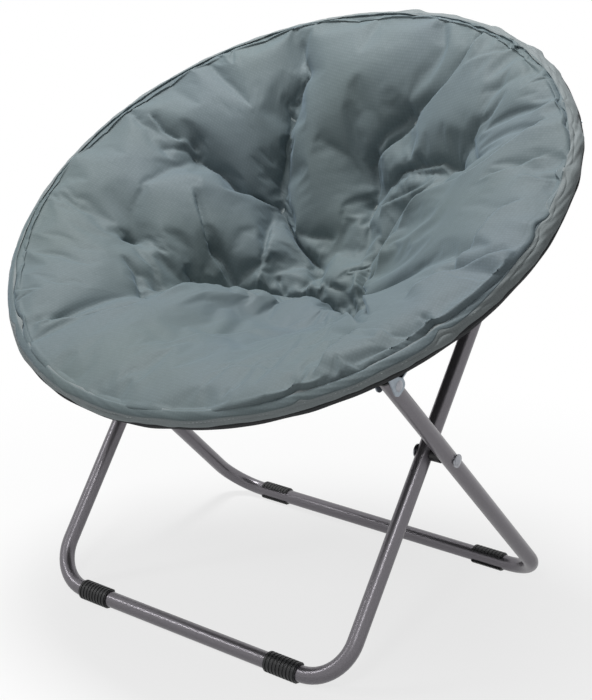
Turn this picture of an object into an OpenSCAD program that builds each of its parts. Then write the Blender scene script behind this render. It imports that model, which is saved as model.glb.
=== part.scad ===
// Folding saucer chair: a padded round seat on a hinged tube ring, carried by two crossed U legs.
// Millimetres. +Z up, +X to the sitter's left, the chair faces -Y, floor at Z = 0.

/* [Seat ring] */
// Radius of the seat ring, to the middle of its tube
ring_radius = 387; // [380:0.5:394]
// Height of the ring's middle above the floor
ring_height = 572; // [560:1:590]
// Tilt of the ring, raised at the back, in degrees
ring_tilt = 33.8; // [32:0.1:36]
// Outside diameter of the ring tube
ring_tube_d = 22; // [20:0.5:24]
// Wall of the ring tube
ring_wall = 1; // [0.8:0.1:2]
// How far the two side hinges lie behind the ring's middle
hinge_back = 195; // [185:1:205]
// Gap between the two halves of the ring where they butt
butt_gap = 0.3; // [0.2:0.1:1]

/* [Legs] */
// Outside diameter of the leg tube
leg_tube_d = 22; // [20:0.5:24]
// Wall of the leg tube
leg_wall = 1; // [0.8:0.1:2]
// Radius of the floor corners, to the middle of the tube
leg_bend = 60; // [50:1:70]
// How far the front leg's uprights stand inside the ring's widest place
front_leg_inset = 136.5; // [133:0.5:139]
// Step out from a front leg's upright to the rear leg's, between their middles
leg_step = 36.3; // [34:0.1:40]
// Height of the crossing pivot above the floor
cross_height = 272.8; // [265:0.1:280]
// Place of the crossing pivot, in front of the ring's middle
cross_front = 16.6; // [10:0.1:24]
// Tube left beyond a top pivot
leg_overhang = 14; // [12:0.5:16]

/* [Feet] */
// Length of a foot clip
clip_length = 50; // [40:1:60]
// Wall of a foot clip between its ribs
clip_wall = 1.8; // [1.5:0.1:2.5]
// Height of a clip's ribs
clip_rib = 0.9; // [0.5:0.1:1.5]
// Number of ribs on a clip
clip_ribs = 9; // [5:1:12]
// Opening of a clip's slot, in degrees
clip_slot = 80; // [60:5:110]
// Depth of the flat under a foot clip
clip_flat = 0.6; // [0.4:0.1:0.8]
// Distance of a front foot clip from the bend beside it
front_clip_inset = 0.5; // [0:0.1:12]
// Distance of a rear foot clip from the bend beside it
rear_clip_inset = 1.8; // [0:0.1:12]

/* [Brackets and rivets] */
// How far the front brackets' pivots lie inside the middle of the ring tube
front_pivot_in = 21.7; // [20:0.1:23]
// Drop of the front brackets' pivots below the ring's plane
front_pivot_drop = 44.8; // [44:0.1:46]
// How far the rear brackets' pivots lie outside the middle of the ring tube
rear_pivot_out = 1.6; // [0:0.1:3]
// Drop of the rear brackets' pivots below the ring's plane
rear_pivot_drop = 54.2; // [53:0.1:56]
// Width of a leg bracket's cheeks
bracket_width = 23; // [21:0.5:26]
// Sheet thickness of the brackets
bracket_sheet = 2; // [1.5:0.1:2.5]
// Cheek left below a bracket's pivot
bracket_lip = 11.5; // [10.5:0.5:13]
// Corner radius of the cheeks
bracket_corner = 8; // [5:0.5:10]
// Diameter of the leg rivets
rivet_d = 8; // [6:0.5:8]
// Diameter of the leg rivets' heads
rivet_head_d = 14; // [12:0.5:16]
// Height of the leg rivets' heads
rivet_head_h = 3; // [2:0.1:4]
// Diameter of the fixing rivets
fixing_d = 4; // [3:0.5:5]
// Diameter of the fixing rivets' heads
fixing_head_d = 8; // [7:0.5:9]
// Height of the fixing rivets' heads
fixing_head_h = 1.5; // [1:0.1:2]
// Diameter of the spacer between the crossed legs
spacer_d = 17; // [14:0.5:20]
// Diameter of the crossing washers
washer_d = 18; // [15:0.5:20]
// Thickness of the crossing washers
washer_t = 1.5; // [1:0.1:2]

/* [Ring hinges] */
// Distance of the hinge pins below the middle of the ring tube
hinge_drop = 20; // [19.7:0.1:22]
// Radius of the hinge eyes
hinge_eye_r = 8.4; // [7:0.1:8.4]
// Length of the hinge plates from the pin
hinge_length = 26; // [24:0.5:30]
// Thickness of the single rear plate
tongue_t = 3; // [2.5:0.1:4]
// Sheet thickness of the front plates
clevis_t = 2; // [1.5:0.1:2.5]
// Diameter of the hinge pins
hinge_pin_d = 6; // [5:0.5:7]
// Diameter of the hinge pins' heads
hinge_head_d = 10; // [9:0.5:12]
// Height of the hinge pins' heads
hinge_head_h = 1.8; // [1.5:0.1:2.5]

/* [Plugs] */
// Thickness of the plugs' caps
plug_cap = 2.5; // [2:0.1:3]
// Depth of the plugs inside a tube
plug_depth = 7; // [5:0.5:8]

/* [Seat] */
// Depth of the hanging bowl below the ring's plane
bowl_depth = 210; // [180:1:225]
// Thickness of the sleeve cloth round the ring
sleeve_t = 1.7; // [1.2:0.1:2]
// Thickness of the hanging sling
sling_t = 1.2; // [0.8:0.1:1.5]
// Thickness of the pad at its sewn edge
pad_edge_t = 12; // [8:0.5:13]
// Full thickness of the pad's filling on the seat
pad_seat_t = 54; // [44:1:60]
// Full thickness of the pad's filling on the back
pad_back_t = 46; // [36:1:54]
// Thickness left in a valley between two lobes
valley_t = 16; // [10:1:20]
// Distance over which a lobe swells up from a valley
swell_reach = 28; // [20:1:40]

/* [Hidden] */
$fn = 48;
ring_fn = 240;
tube_fn = 48;

// Clearance between pieces that are riveted, pushed or sewn together
seat_gap = 0.3;
// Clearance all round a pin in its hole
pin_gap = 0.1;
// Clearance between the cloth and what it lies on
soft_gap = 0.4;
// Clearance of a leg's tube between its bracket's cheeks
cheek_gap = 0.6;
// Extra length of every cut
over = 2;
// Clearance of the sleeve's cut-outs round the brackets
slit_gap = 1.5;

ring_r = ring_tube_d / 2;
leg_r = leg_tube_d / 2;
clip_r = leg_r + seat_gap + clip_wall + clip_rib;
bar_z = clip_r - clip_flat;
cross_y = -cross_front;
sleeve_r = ring_r + seat_gap + sleeve_t;
sleeve_in_r = ring_r + seat_gap;

// Half the width of each leg, to the middles of its uprights, and the places of its foot clips
front_leg_half = ring_radius - front_leg_inset;
rear_leg_half = front_leg_half + leg_step;
front_clip_out = front_leg_half - leg_bend - clip_length / 2 - front_clip_inset;
rear_clip_out = rear_leg_half - leg_bend - clip_length / 2 - rear_clip_inset;

// Top pivots under the ring, first in the ring's frame [back, up], then in the floor frame [y, z]
front_seat = [-sqrt(pow(ring_radius - front_pivot_in, 2) - pow(rear_leg_half, 2)), -front_pivot_drop];
rear_seat = [sqrt(pow(ring_radius + rear_pivot_out, 2) - pow(front_leg_half, 2)), -rear_pivot_drop];
function to_floor(p) = [p[0] * cos(ring_tilt) - p[1] * sin(ring_tilt),
    ring_height + p[0] * sin(ring_tilt) + p[1] * cos(ring_tilt)];
front_rise = to_floor(rear_seat) - [cross_y, cross_height];
rear_rise = to_floor(front_seat) - [cross_y, cross_height];

// Each leg leans from the crossing to its top pivot, and runs on down to its floor bar
front_leg_lean = atan2(front_rise[0], front_rise[1]);
rear_leg_lean = atan2(-rear_rise[0], rear_rise[1]);
front_leg_reach = norm(front_rise);
rear_leg_reach = norm(rear_rise);
front_foot_reach = (cross_height - bar_z) / cos(front_leg_lean);
rear_foot_reach = (cross_height - bar_z) / cos(rear_leg_lean);

// Where the ring is cut and hinged
hinge_angle = asin(hinge_back / ring_radius);
hinge_x = sqrt(pow(ring_radius, 2) - pow(hinge_back, 2));
end_angle = (plug_cap + seat_gap + butt_gap / 2) / ring_radius * 180 / PI;
butt_angle = butt_gap / 2 / ring_radius * 180 / PI;

// Undersides that the brackets' webs lie against
web_top = -ring_r - seat_gap;
web_low = web_top - bracket_sheet;
cheek_in = leg_r + cheek_gap;
cheek_out = cheek_in + bracket_sheet;
clevis_in = tongue_t / 2 + seat_gap;
clevis_out = clevis_in + clevis_t;
fixing_share = 0.72;

// Middle of the ring tube, out from the middle, at a distance back
function ring_out(back) = sqrt(pow(ring_radius, 2) - pow(back, 2));

// Profile of the hanging bowl: radii and depths as shares of the rim radius and the depth
radius_shares = [1, 0.93, 0.86, 0.77, 0.66, 0.53, 0.4, 0.26, 0.13];
depth_shares = [0.014, 0.04, 0.125, 0.27, 0.46, 0.66, 0.82, 0.93, 0.985];
pad_r = ring_radius - sleeve_r - soft_gap;

// Valleys between the pad's lobes, as shares of the ring's radius: [out to the left, back]
seat_back_shares = [[-0.57, -0.81], [-0.48, -0.4], [-0.43, -0.18], [-0.25, -0.07], [0.05, -0.04],
    [0.24, -0.09]];
front_left_shares = [[0.24, -0.09], [0.28, -0.33], [0.6, -0.75]];
back_right_shares = [[-0.42, 0.82], [-0.38, 0.59], [-0.35, 0.3], [-0.12, 0.15], [-0.05, -0.04]];
side_right_shares = [[-0.35, 0.3], [-0.66, 0.27], [-0.75, 0.03], [-0.68, -0.21], [-0.45, -0.33]];
low_middle_shares = [[-0.35, 0.3], [-0.26, -0.07]];
back_left_shares = [[0.33, 0.92], [0.13, 0.67], [0, 0.54], [0.02, 0.42], [0.1, 0.2], [0.24, -0.09]];
cross_left_shares = [[0.02, 0.42], [0.22, 0.51], [0.43, 0.47], [0.75, 0.45]];
side_left_shares = [[0.43, 0.47], [0.2, 0.34], [0.15, 0.11]];
low_left_shares = [[0.45, 0.12], [0.35, 0.08], [0.24, -0.09]];
valley_shares = [seat_back_shares, front_left_shares, back_right_shares, side_right_shares,
    low_middle_shares, back_left_shares, cross_left_shares, side_left_shares, low_left_shares];
// Radius share on each side of a point, over which the bowl's slope is taken
slope_share = 0.05;
// Change from the seat's full thickness to the back's: its steepness, and its share at the middle
back_rise_share = 1.5;
back_start_share = 0.2;
// Share of the way in from the rim that the pad's top falls, until the lobes are lower
rim_fall_share = 0.08;

sides = 52;
rings = 12;

module in_ring() {
    translate([0, 0, ring_height]) rotate([ring_tilt, 0, 0]) children();
}

// A plate outline drawn in [back, up], thickened along X from x0 to x1
module plate(x0, x1) {
    translate([x0, 0, 0]) rotate([90, 0, 90]) linear_extrude(height = x1 - x0) children();
}

// A rod along X from x0 to x1
module rod(d, x0, x1) {
    translate([x0, 0, 0]) rotate([0, 90, 0]) cylinder(d = d, h = x1 - x0);
}

// A rivet along X with a domed head at each end
module rivet(d, head_d, head_h, x0, x1) {
    rod(d, x0, x1);
    translate([x0, 0, 0]) rotate([0, -90, 0]) dome(head_d, head_h);
    translate([x1, 0, 0]) rotate([0, 90, 0]) dome(head_d, head_h);
}

// A low dome standing on z = 0
module dome(d, h) {
    ball = (d * d / 4 + h * h) / (2 * h);
    rotate_extrude() intersection() {
        translate([0, h - ball]) circle(r = ball);
        square([d / 2, h]);
    }
}

module both_sides() {
    children();
    mirror([1, 0, 0]) children();
}

// Solid path of a U leg: floor bar on the origin, uprights up along Z to the given height
module u_path(d, half, height) {
    rod(d, -(half - leg_bend), half - leg_bend);
    both_sides() {
        translate([half - leg_bend, 0, leg_bend]) rotate([90, 0, 0]) rotate([0, 0, -90])
            rotate_extrude(angle = 90) translate([leg_bend, 0]) circle(d = d);
        translate([half, 0, leg_bend]) cylinder(d = d, h = height - leg_bend);
    }
}

// Hollow U leg with holes for its rivets at the given heights
module u_leg(half, height, holes) {
    difference() {
        u_path(leg_tube_d, half, height);
        u_path(leg_tube_d - 2 * leg_wall, half, height + over);
        both_sides() for (z = holes)
            translate([half, 0, z]) rod(rivet_d + 2 * pin_gap, -leg_tube_d, leg_tube_d);
    }
}

// Cap with a spigot, cap outwards along +Z from the tube's end at z = 0
module plug(d, wall, gap) {
    translate([0, 0, gap]) cylinder(d = d, h = plug_cap);
    translate([0, 0, -plug_depth]) cylinder(d = d - 2 * wall - 2 * gap, h = plug_depth + gap + plug_cap / 2);
}

module at_front_leg() {
    translate([0, cross_y, cross_height]) rotate([-front_leg_lean, 0, 0])
        translate([0, 0, -front_foot_reach]) children();
}

module at_rear_leg() {
    translate([0, cross_y, cross_height]) rotate([rear_leg_lean, 0, 0])
        translate([0, 0, -rear_foot_reach]) children();
}

module front_leg_tube() {
    color("silver") at_front_leg()
        u_leg(front_leg_half, front_foot_reach + front_leg_reach + leg_overhang,
            [front_foot_reach, front_foot_reach + front_leg_reach]);
}

module rear_leg_tube() {
    color("silver") at_rear_leg()
        u_leg(rear_leg_half, rear_foot_reach + rear_leg_reach + leg_overhang,
            [rear_foot_reach, rear_foot_reach + rear_leg_reach]);
}

module front_leg_plugs() {
    color([0.08, 0.08, 0.09]) at_front_leg() both_sides()
        translate([front_leg_half, 0, front_foot_reach + front_leg_reach + leg_overhang])
            plug(leg_tube_d, leg_wall, seat_gap);
}

module rear_leg_plugs() {
    color([0.08, 0.08, 0.09]) at_rear_leg() both_sides()
        translate([rear_leg_half, 0, rear_foot_reach + rear_leg_reach + leg_overhang])
            plug(leg_tube_d, leg_wall, seat_gap);
}

// Ribbed C clip round a floor bar; its slot faces the given direction along Y
module foot_clip(out, bar_y, toward) {
    pitch = clip_length / clip_ribs;
    rib_w = pitch / 2;
    translate([out, bar_y, bar_z]) difference() {
        translate([-clip_length / 2, 0, 0]) {
            rod(2 * (clip_r - clip_rib), 0, clip_length);
            for (i = [0 : clip_ribs - 1])
                translate([i * pitch + (pitch - rib_w) / 2, 0, 0]) rod(2 * clip_r, 0, rib_w);
        }
        rod(2 * (leg_r + seat_gap), -clip_length, clip_length);
        plate(-clip_length, clip_length) polygon([[0, 0],
            [toward * 2 * clip_r * cos(clip_slot / 2), 2 * clip_r * sin(clip_slot / 2)],
            [toward * 2 * clip_r * cos(clip_slot / 2), -2 * clip_r * sin(clip_slot / 2)]]);
        translate([-clip_length, -clip_r, -bar_z - clip_r]) cube([2 * clip_length, 2 * clip_r, clip_r]);
    }
}

front_bar_y = cross_y - front_foot_reach * sin(front_leg_lean);
rear_bar_y = cross_y + rear_foot_reach * sin(rear_leg_lean);

module front_foot_left() {
    color([0.1, 0.1, 0.1]) foot_clip(front_clip_out, front_bar_y, 1);
}

module front_foot_right() {
    color([0.1, 0.1, 0.1]) foot_clip(-front_clip_out, front_bar_y, 1);
}

module rear_foot_left() {
    color([0.1, 0.1, 0.1]) foot_clip(rear_clip_out, rear_bar_y, -1);
}

module rear_foot_right() {
    color([0.1, 0.1, 0.1]) foot_clip(-rear_clip_out, rear_bar_y, -1);
}

module crossing_spacer() {
    translate([0, cross_y, cross_height]) difference() {
        rod(spacer_d, front_leg_half + leg_r + pin_gap, rear_leg_half - leg_r - pin_gap);
        rod(rivet_d + 2 * pin_gap, front_leg_half, rear_leg_half);
    }
}

module crossing_spacer_left() {
    color([0.1, 0.1, 0.1]) crossing_spacer();
}

module crossing_spacer_right() {
    color([0.1, 0.1, 0.1]) mirror([1, 0, 0]) crossing_spacer();
}

module crossing_rivets() {
    color("lightgray") both_sides() translate([0, cross_y, cross_height])
        rivet(rivet_d, rivet_head_d, rivet_head_h, front_leg_half - leg_r - washer_t - 2 * pin_gap,
            rear_leg_half + leg_r + washer_t + 2 * pin_gap);
}

module crossing_washers() {
    color("gray") both_sides() translate([0, cross_y, cross_height]) difference() {
        union() {
            rod(washer_d, rear_leg_half + leg_r + pin_gap, rear_leg_half + leg_r + pin_gap + washer_t);
            rod(washer_d, front_leg_half - leg_r - pin_gap - washer_t, front_leg_half - leg_r - pin_gap);
        }
        rod(rivet_d + 2 * pin_gap, front_leg_half - leg_tube_d, rear_leg_half + leg_tube_d);
    }
}

// Piece of the ring's circle from angle a0, sweeping by sweep, with a given section
module arc(a0, sweep) {
    rotate([0, 0, a0]) rotate_extrude(angle = sweep, $fn = ring_fn) translate([ring_radius, 0])
        children();
}

module tube_section() {
    difference() {
        circle(d = ring_tube_d, $fn = tube_fn);
        circle(d = ring_tube_d - 2 * ring_wall, $fn = tube_fn);
    }
}

// Upright hole for a fixing rivet through the underside of the ring tube
module fixing_hole(out, back) {
    translate([out, back, -ring_tube_d]) cylinder(d = fixing_d + 2 * pin_gap, h = ring_tube_d);
}

// Fixing rivet up through a web of the given sheet, its head below
module fixing(out, back, sheet) {
    translate([out, back, web_top - sheet - pin_gap]) {
        mirror([0, 0, 1]) dome(fixing_head_d, fixing_head_h);
        cylinder(d = fixing_d, h = sheet + seat_gap + ring_wall + fixing_d);
    }
}

clevis_fix_back = hinge_back - fixing_share * hinge_length;
tongue_fix_back = hinge_back + fixing_share * hinge_length;

module ring_front_tube() {
    color("silver") in_ring() difference() {
        arc(180 - hinge_angle + end_angle, 180 + 2 * hinge_angle - 2 * end_angle) tube_section();
        both_sides() {
            fixing_hole(ring_out(front_seat[0]), front_seat[0]);
            fixing_hole(ring_out(clevis_fix_back), clevis_fix_back);
        }
    }
}

module ring_rear_tube() {
    color("silver") in_ring() difference() {
        arc(hinge_angle + end_angle, 180 - 2 * hinge_angle - 2 * end_angle) tube_section();
        both_sides() {
            fixing_hole(ring_out(rear_seat[0]), rear_seat[0]);
            fixing_hole(ring_out(tongue_fix_back), tongue_fix_back);
        }
    }
}

// End plug of a ring tube: its outer face is the butt face, and the spigot runs back by turn
module ring_plug(turn) {
    rotate([0, 0, hinge_angle - turn * butt_angle]) translate([ring_radius, 0, 0])
        rotate([turn > 0 ? -90 : 90, 0, 0]) translate([0, 0, -plug_cap - seat_gap]) {
            plug(ring_tube_d, ring_wall + seat_gap, seat_gap);
        }
}

module ring_front_plugs() {
    color([0.08, 0.08, 0.09]) in_ring() both_sides() ring_plug(1);
}

module ring_rear_plugs() {
    color([0.08, 0.08, 0.09]) in_ring() both_sides() ring_plug(-1);
}

// Flat web under the ring tube, from the plates at the hinge to the fixing rivet; way is -1 to the front
module hinge_web(way, fix_out, fix_back, half) {
    near = hinge_back + way * (hinge_eye_r + seat_gap + clevis_t);
    far = hinge_back + way * hinge_length;
    translate([0, 0, web_top - clevis_t]) linear_extrude(height = clevis_t) difference() {
        union() {
            polygon([[hinge_x - half, near], [hinge_x + half, near], [hinge_x + half, far],
                [hinge_x - half, far]]);
            polygon([[hinge_x, near], [fix_out, fix_back - way * fixing_d],
                [fix_out, fix_back + way * fixing_d], [hinge_x, far]]);
            translate([fix_out, fix_back]) circle(d = fixing_head_d);
        }
        translate([fix_out, fix_back]) circle(d = fixing_d + 2 * pin_gap);
    }
}

// Hinge plate hanging below the ring: an eye on the pin and a strap towards way
module hinge_plate(x0, x1, way, hole_d) {
    plate(x0, x1) translate([hinge_back, -hinge_drop]) difference() {
        union() {
            circle(r = hinge_eye_r);
            translate([way < 0 ? -hinge_length : 0, -hinge_eye_r])
                square([hinge_length, hinge_eye_r + hinge_drop + web_top - clevis_t / 2]);
        }
        circle(d = hole_d);
    }
}

module hinge_clevis() {
    in_ring() {
        hinge_plate(hinge_x - clevis_out, hinge_x - clevis_in, -1, hinge_pin_d + 2 * pin_gap);
        hinge_plate(hinge_x + clevis_in, hinge_x + clevis_out, -1, hinge_pin_d + 2 * pin_gap);
        hinge_web(-1, ring_out(clevis_fix_back), clevis_fix_back, clevis_out);
    }
}

module hinge_tongue() {
    in_ring() {
        hinge_plate(hinge_x - tongue_t / 2, hinge_x + tongue_t / 2, 1, hinge_pin_d + 2 * pin_gap);
        hinge_web(1, ring_out(tongue_fix_back), tongue_fix_back, clevis_out);
    }
}

module hinge_clevis_left() {
    color("lightsteelblue") hinge_clevis();
}

module hinge_clevis_right() {
    color("lightsteelblue") mirror([1, 0, 0]) hinge_clevis();
}

module hinge_tongue_left() {
    color("lightsteelblue") hinge_tongue();
}

module hinge_tongue_right() {
    color("lightsteelblue") mirror([1, 0, 0]) hinge_tongue();
}

module hinge_pins() {
    color("gray") in_ring() both_sides() translate([hinge_x, hinge_back, -hinge_drop])
        rivet(hinge_pin_d, hinge_head_d, hinge_head_h, -clevis_out - pin_gap, clevis_out + pin_gap);
}

module clevis_fixings() {
    color("gray") in_ring() both_sides() fixing(ring_out(clevis_fix_back), clevis_fix_back, clevis_t);
}

module tongue_fixings() {
    color("gray") in_ring() both_sides() fixing(ring_out(tongue_fix_back), tongue_fix_back, clevis_t);
}

// Ends along X of a bracket's web, which spans its cheeks and the fixing under the ring tube
function web_ends(half, back) = [min(half - cheek_out, ring_out(back) - fixing_head_d),
    max(half + cheek_out, ring_out(back) + fixing_head_d)];

// U bracket that straddles a leg's top: pivot is [back, up], the web runs out under the ring tube
module leg_bracket(half, pivot) {
    low = pivot[1] - bracket_lip;
    ends = web_ends(half, pivot[0]);
    in_ring() {
        for (x0 = [half - cheek_out, half + cheek_in]) plate(x0, x0 + bracket_sheet)
            translate([pivot[0], 0]) difference() {
                union() {
                    translate([-bracket_width / 2, low + bracket_corner])
                        square([bracket_width, web_top - low - bracket_corner]);
                    translate([bracket_corner - bracket_width / 2, low])
                        square([bracket_width - 2 * bracket_corner, 2 * bracket_corner]);
                    for (s = [-1, 1])
                        translate([s * (bracket_width / 2 - bracket_corner), low + bracket_corner])
                            circle(r = bracket_corner);
                }
                translate([0, pivot[1]]) circle(d = rivet_d + 2 * pin_gap);
            }
        difference() {
            translate([ends[0], pivot[0] - bracket_width / 2, web_low])
                cube([ends[1] - ends[0], bracket_width, bracket_sheet]);
            fixing_hole(ring_out(pivot[0]), pivot[0]);
        }
    }
}

module front_bracket_left() {
    color("lightsteelblue") leg_bracket(rear_leg_half, front_seat);
}

module front_bracket_right() {
    color("lightsteelblue") mirror([1, 0, 0]) leg_bracket(rear_leg_half, front_seat);
}

module rear_bracket_left() {
    color("lightsteelblue") leg_bracket(front_leg_half, rear_seat);
}

module rear_bracket_right() {
    color("lightsteelblue") mirror([1, 0, 0]) leg_bracket(front_leg_half, rear_seat);
}

module front_bracket_fixings() {
    color("gray") in_ring() both_sides() fixing(ring_out(front_seat[0]), front_seat[0], bracket_sheet);
}

module rear_bracket_fixings() {
    color("gray") in_ring() both_sides() fixing(ring_out(rear_seat[0]), rear_seat[0], bracket_sheet);
}

module front_pivot_rivets() {
    color("lightgray") in_ring() both_sides()
        translate([rear_leg_half, front_seat[0], front_seat[1]])
            rivet(rivet_d, rivet_head_d, rivet_head_h, -cheek_out - pin_gap, cheek_out + pin_gap);
}

// The rear pivot's rivets end inside the cheeks, so the leg can leave them as the chair folds
module rear_pivot_rivets() {
    color("lightgray") in_ring() both_sides()
        translate([front_leg_half, rear_seat[0], rear_seat[1]]) difference() {
            rivet(rivet_d, rivet_head_d, rivet_head_h, -cheek_out - pin_gap, cheek_out + pin_gap);
            rod(leg_tube_d, -cheek_in, cheek_in);
        }
}

// Box that slits the sleeve's underside round a web, from x0 to x1 and from s0 to s1 back
module slit(x0, x1, s0, s1) {
    translate([x0 - slit_gap, s0 - slit_gap, -2 * sleeve_r])
        cube([x1 - x0 + 2 * slit_gap, s1 - s0 + 2 * slit_gap, 2 * sleeve_r - ring_r / 2]);
}

module bracket_slit(half, pivot) {
    ends = web_ends(half, pivot[0]);
    slit(ends[0], ends[1], pivot[0] - bracket_width / 2, pivot[0] + bracket_width / 2);
}

// Sleeve cloth round the ring tube, from angle a0 and sweeping by sweep
module sleeve(a0, sweep) {
    arc(a0, sweep) difference() {
        circle(r = sleeve_r, $fn = tube_fn);
        circle(r = sleeve_in_r, $fn = tube_fn);
    }
}

module front_sleeve() {
    color([0.42, 0.46, 0.48]) in_ring() both_sides() difference() {
        sleeve(-90, 90 + hinge_angle - 2 * end_angle);
        bracket_slit(rear_leg_half, front_seat);
        slit(hinge_x - clevis_out, ring_out(clevis_fix_back) + fixing_head_d / 2,
            hinge_back - hinge_length, hinge_back + hinge_eye_r);
    }
}

module rear_sleeve() {
    color([0.42, 0.46, 0.48]) in_ring() both_sides() difference() {
        mirror([0, 1, 0]) sleeve(-90, 90 - hinge_angle - 2 * end_angle);
        bracket_slit(front_leg_half, rear_seat);
        slit(ring_out(tongue_fix_back) - fixing_head_d / 2, hinge_x + clevis_out,
            hinge_back - hinge_eye_r, hinge_back + hinge_length);
    }
}

// Hanging black cloth under the pad, a thin bowl
module seat_sling() {
    n = len(radius_shares) - 1;
    top = concat([for (i = [0 : n]) [radius_shares[i] * pad_r, -depth_shares[i] * bowl_depth]],
        [[0, -bowl_depth]]);
    low = [for (i = [n + 1 : -1 : 0]) top[i] - [0, sling_t]];
    color([0.06, 0.06, 0.07]) in_ring() rotate_extrude($fn = ring_fn) polygon(concat(top, low));
}

function smooth(t) = let (c = max(0, min(1, t))) c * c * (3 - 2 * c);
function depth_at(u) = u >= 1 ? depth_shares[0] : lookup(u, concat([[0, 1]],
    [for (i = [len(radius_shares) - 1 : -1 : 0]) [radius_shares[i], depth_shares[i]]]));
function near_line(p, a, b) = let (d = b - a, t = max(0, min(1, (p - a) * d / (d * d)))) norm(p - a - t * d);
function valley_dist(p) = min([for (line = valley_shares) for (i = [0 : len(line) - 2])
    near_line(p, line[i] * ring_radius, line[i + 1] * ring_radius)]);
function swell(d) = 1 - exp(-d / swell_reach);

// Rise of the bowl over its run at a radius share
function bowl_slope(u) = (depth_at(max(0, u - slope_share)) - depth_at(u + slope_share)) * bowl_depth
    / (2 * slope_share * pad_r);
function bowl_steep(u) = sqrt(1 + pow(bowl_slope(u), 2));

// Thickness of the pad at a plan point p, at the radius share u: lobes between the valleys, flat near the rim
function crown(p) = pad_seat_t + (pad_back_t - pad_seat_t)
    * smooth(p[1] / pad_r * back_rise_share + back_start_share);
function pad_thick(p, u) = let (
    above_rim = pad_edge_t - rim_fall_share * (1 - u) * pad_r,
    under_fall = (above_rim + (depth_at(u) - depth_at(1)) * bowl_depth) / bowl_steep(u))
    min(under_fall, valley_t + (crown(p) - valley_t) * swell(valley_dist(p)));

// A point of the pad's top: the bowl's point at radius share u and angle a, raised square to the bowl
function pad_top(u, a) = let (t = pad_thick(pad_r * u * [cos(a), sin(a)], u) / bowl_steep(u),
    r = pad_r * u - t * bowl_slope(u))
    [r * cos(a), r * sin(a), soft_gap - depth_at(u) * bowl_depth + t];

module seat_pad() {
    lows = len(radius_shares);
    top = [for (i = [0 : rings - 1]) for (k = [0 : sides - 1]) pad_top(1 - i / rings, 360 * k / sides)];
    low = [for (i = [0 : lows - 1]) for (k = [0 : sides - 1])
        let (a = 360 * k / sides, r = pad_r * radius_shares[i])
        [r * cos(a), r * sin(a), soft_gap - depth_shares[i] * bowl_depth]];
    mid = [[0, 0, soft_gap - bowl_depth + pad_thick([0, 0], 0)], [0, 0, soft_gap - bowl_depth]];
    l0 = rings * sides;
    m0 = l0 + lows * sides;
    faces = concat(
        [for (i = [0 : rings - 2]) for (k = [0 : sides - 1]) let (n = (k + 1) % sides)
            each [[i * sides + k, (i + 1) * sides + k, (i + 1) * sides + n],
                [i * sides + k, (i + 1) * sides + n, i * sides + n]]],
        [for (k = [0 : sides - 1]) [(rings - 1) * sides + k, m0, (rings - 1) * sides + (k + 1) % sides]],
        [for (i = [0 : lows - 2]) for (k = [0 : sides - 1]) let (n = (k + 1) % sides)
            each [[l0 + i * sides + k, l0 + (i + 1) * sides + n, l0 + (i + 1) * sides + k],
                [l0 + i * sides + k, l0 + i * sides + n, l0 + (i + 1) * sides + n]]],
        [for (k = [0 : sides - 1]) [l0 + (lows - 1) * sides + k, l0 + (lows - 1) * sides + (k + 1) % sides,
            m0 + 1]],
        [for (k = [0 : sides - 1]) let (n = (k + 1) % sides)
            each [[k, n, l0 + n], [k, l0 + n, l0 + k]]]);
    color([0.45, 0.51, 0.51]) in_ring() polyhedron(points = concat(top, low, mid), faces = faces);
}

front_leg_tube();
rear_leg_tube();
front_leg_plugs();
rear_leg_plugs();
front_foot_left();
front_foot_right();
rear_foot_left();
rear_foot_right();
crossing_spacer_left();
crossing_spacer_right();
crossing_rivets();
crossing_washers();
ring_front_tube();
ring_rear_tube();
ring_front_plugs();
ring_rear_plugs();
hinge_clevis_left();
hinge_clevis_right();
hinge_tongue_left();
hinge_tongue_right();
hinge_pins();
clevis_fixings();
tongue_fixings();
front_bracket_left();
front_bracket_right();
rear_bracket_left();
rear_bracket_right();
front_bracket_fixings();
rear_bracket_fixings();
front_pivot_rivets();
rear_pivot_rivets();
front_sleeve();
rear_sleeve();
seat_sling();
seat_pad();
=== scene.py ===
# %% [markdown]
# # A folding saucer chair
# The chair is a quilted round cushion on a hinged steel ring, carried by two crossed U legs.
# The frame's tubes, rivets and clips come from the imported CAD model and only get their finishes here.
# The cloth is made new: a cushion, a black sling under it, and the band that wraps the ring.
# Everything is in metres, +Z up, and the sitter faces -Y.

# %% Load the frame
import math

import bmesh
import bpy
import numpy as np
from mathutils import Matrix, Vector


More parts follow.
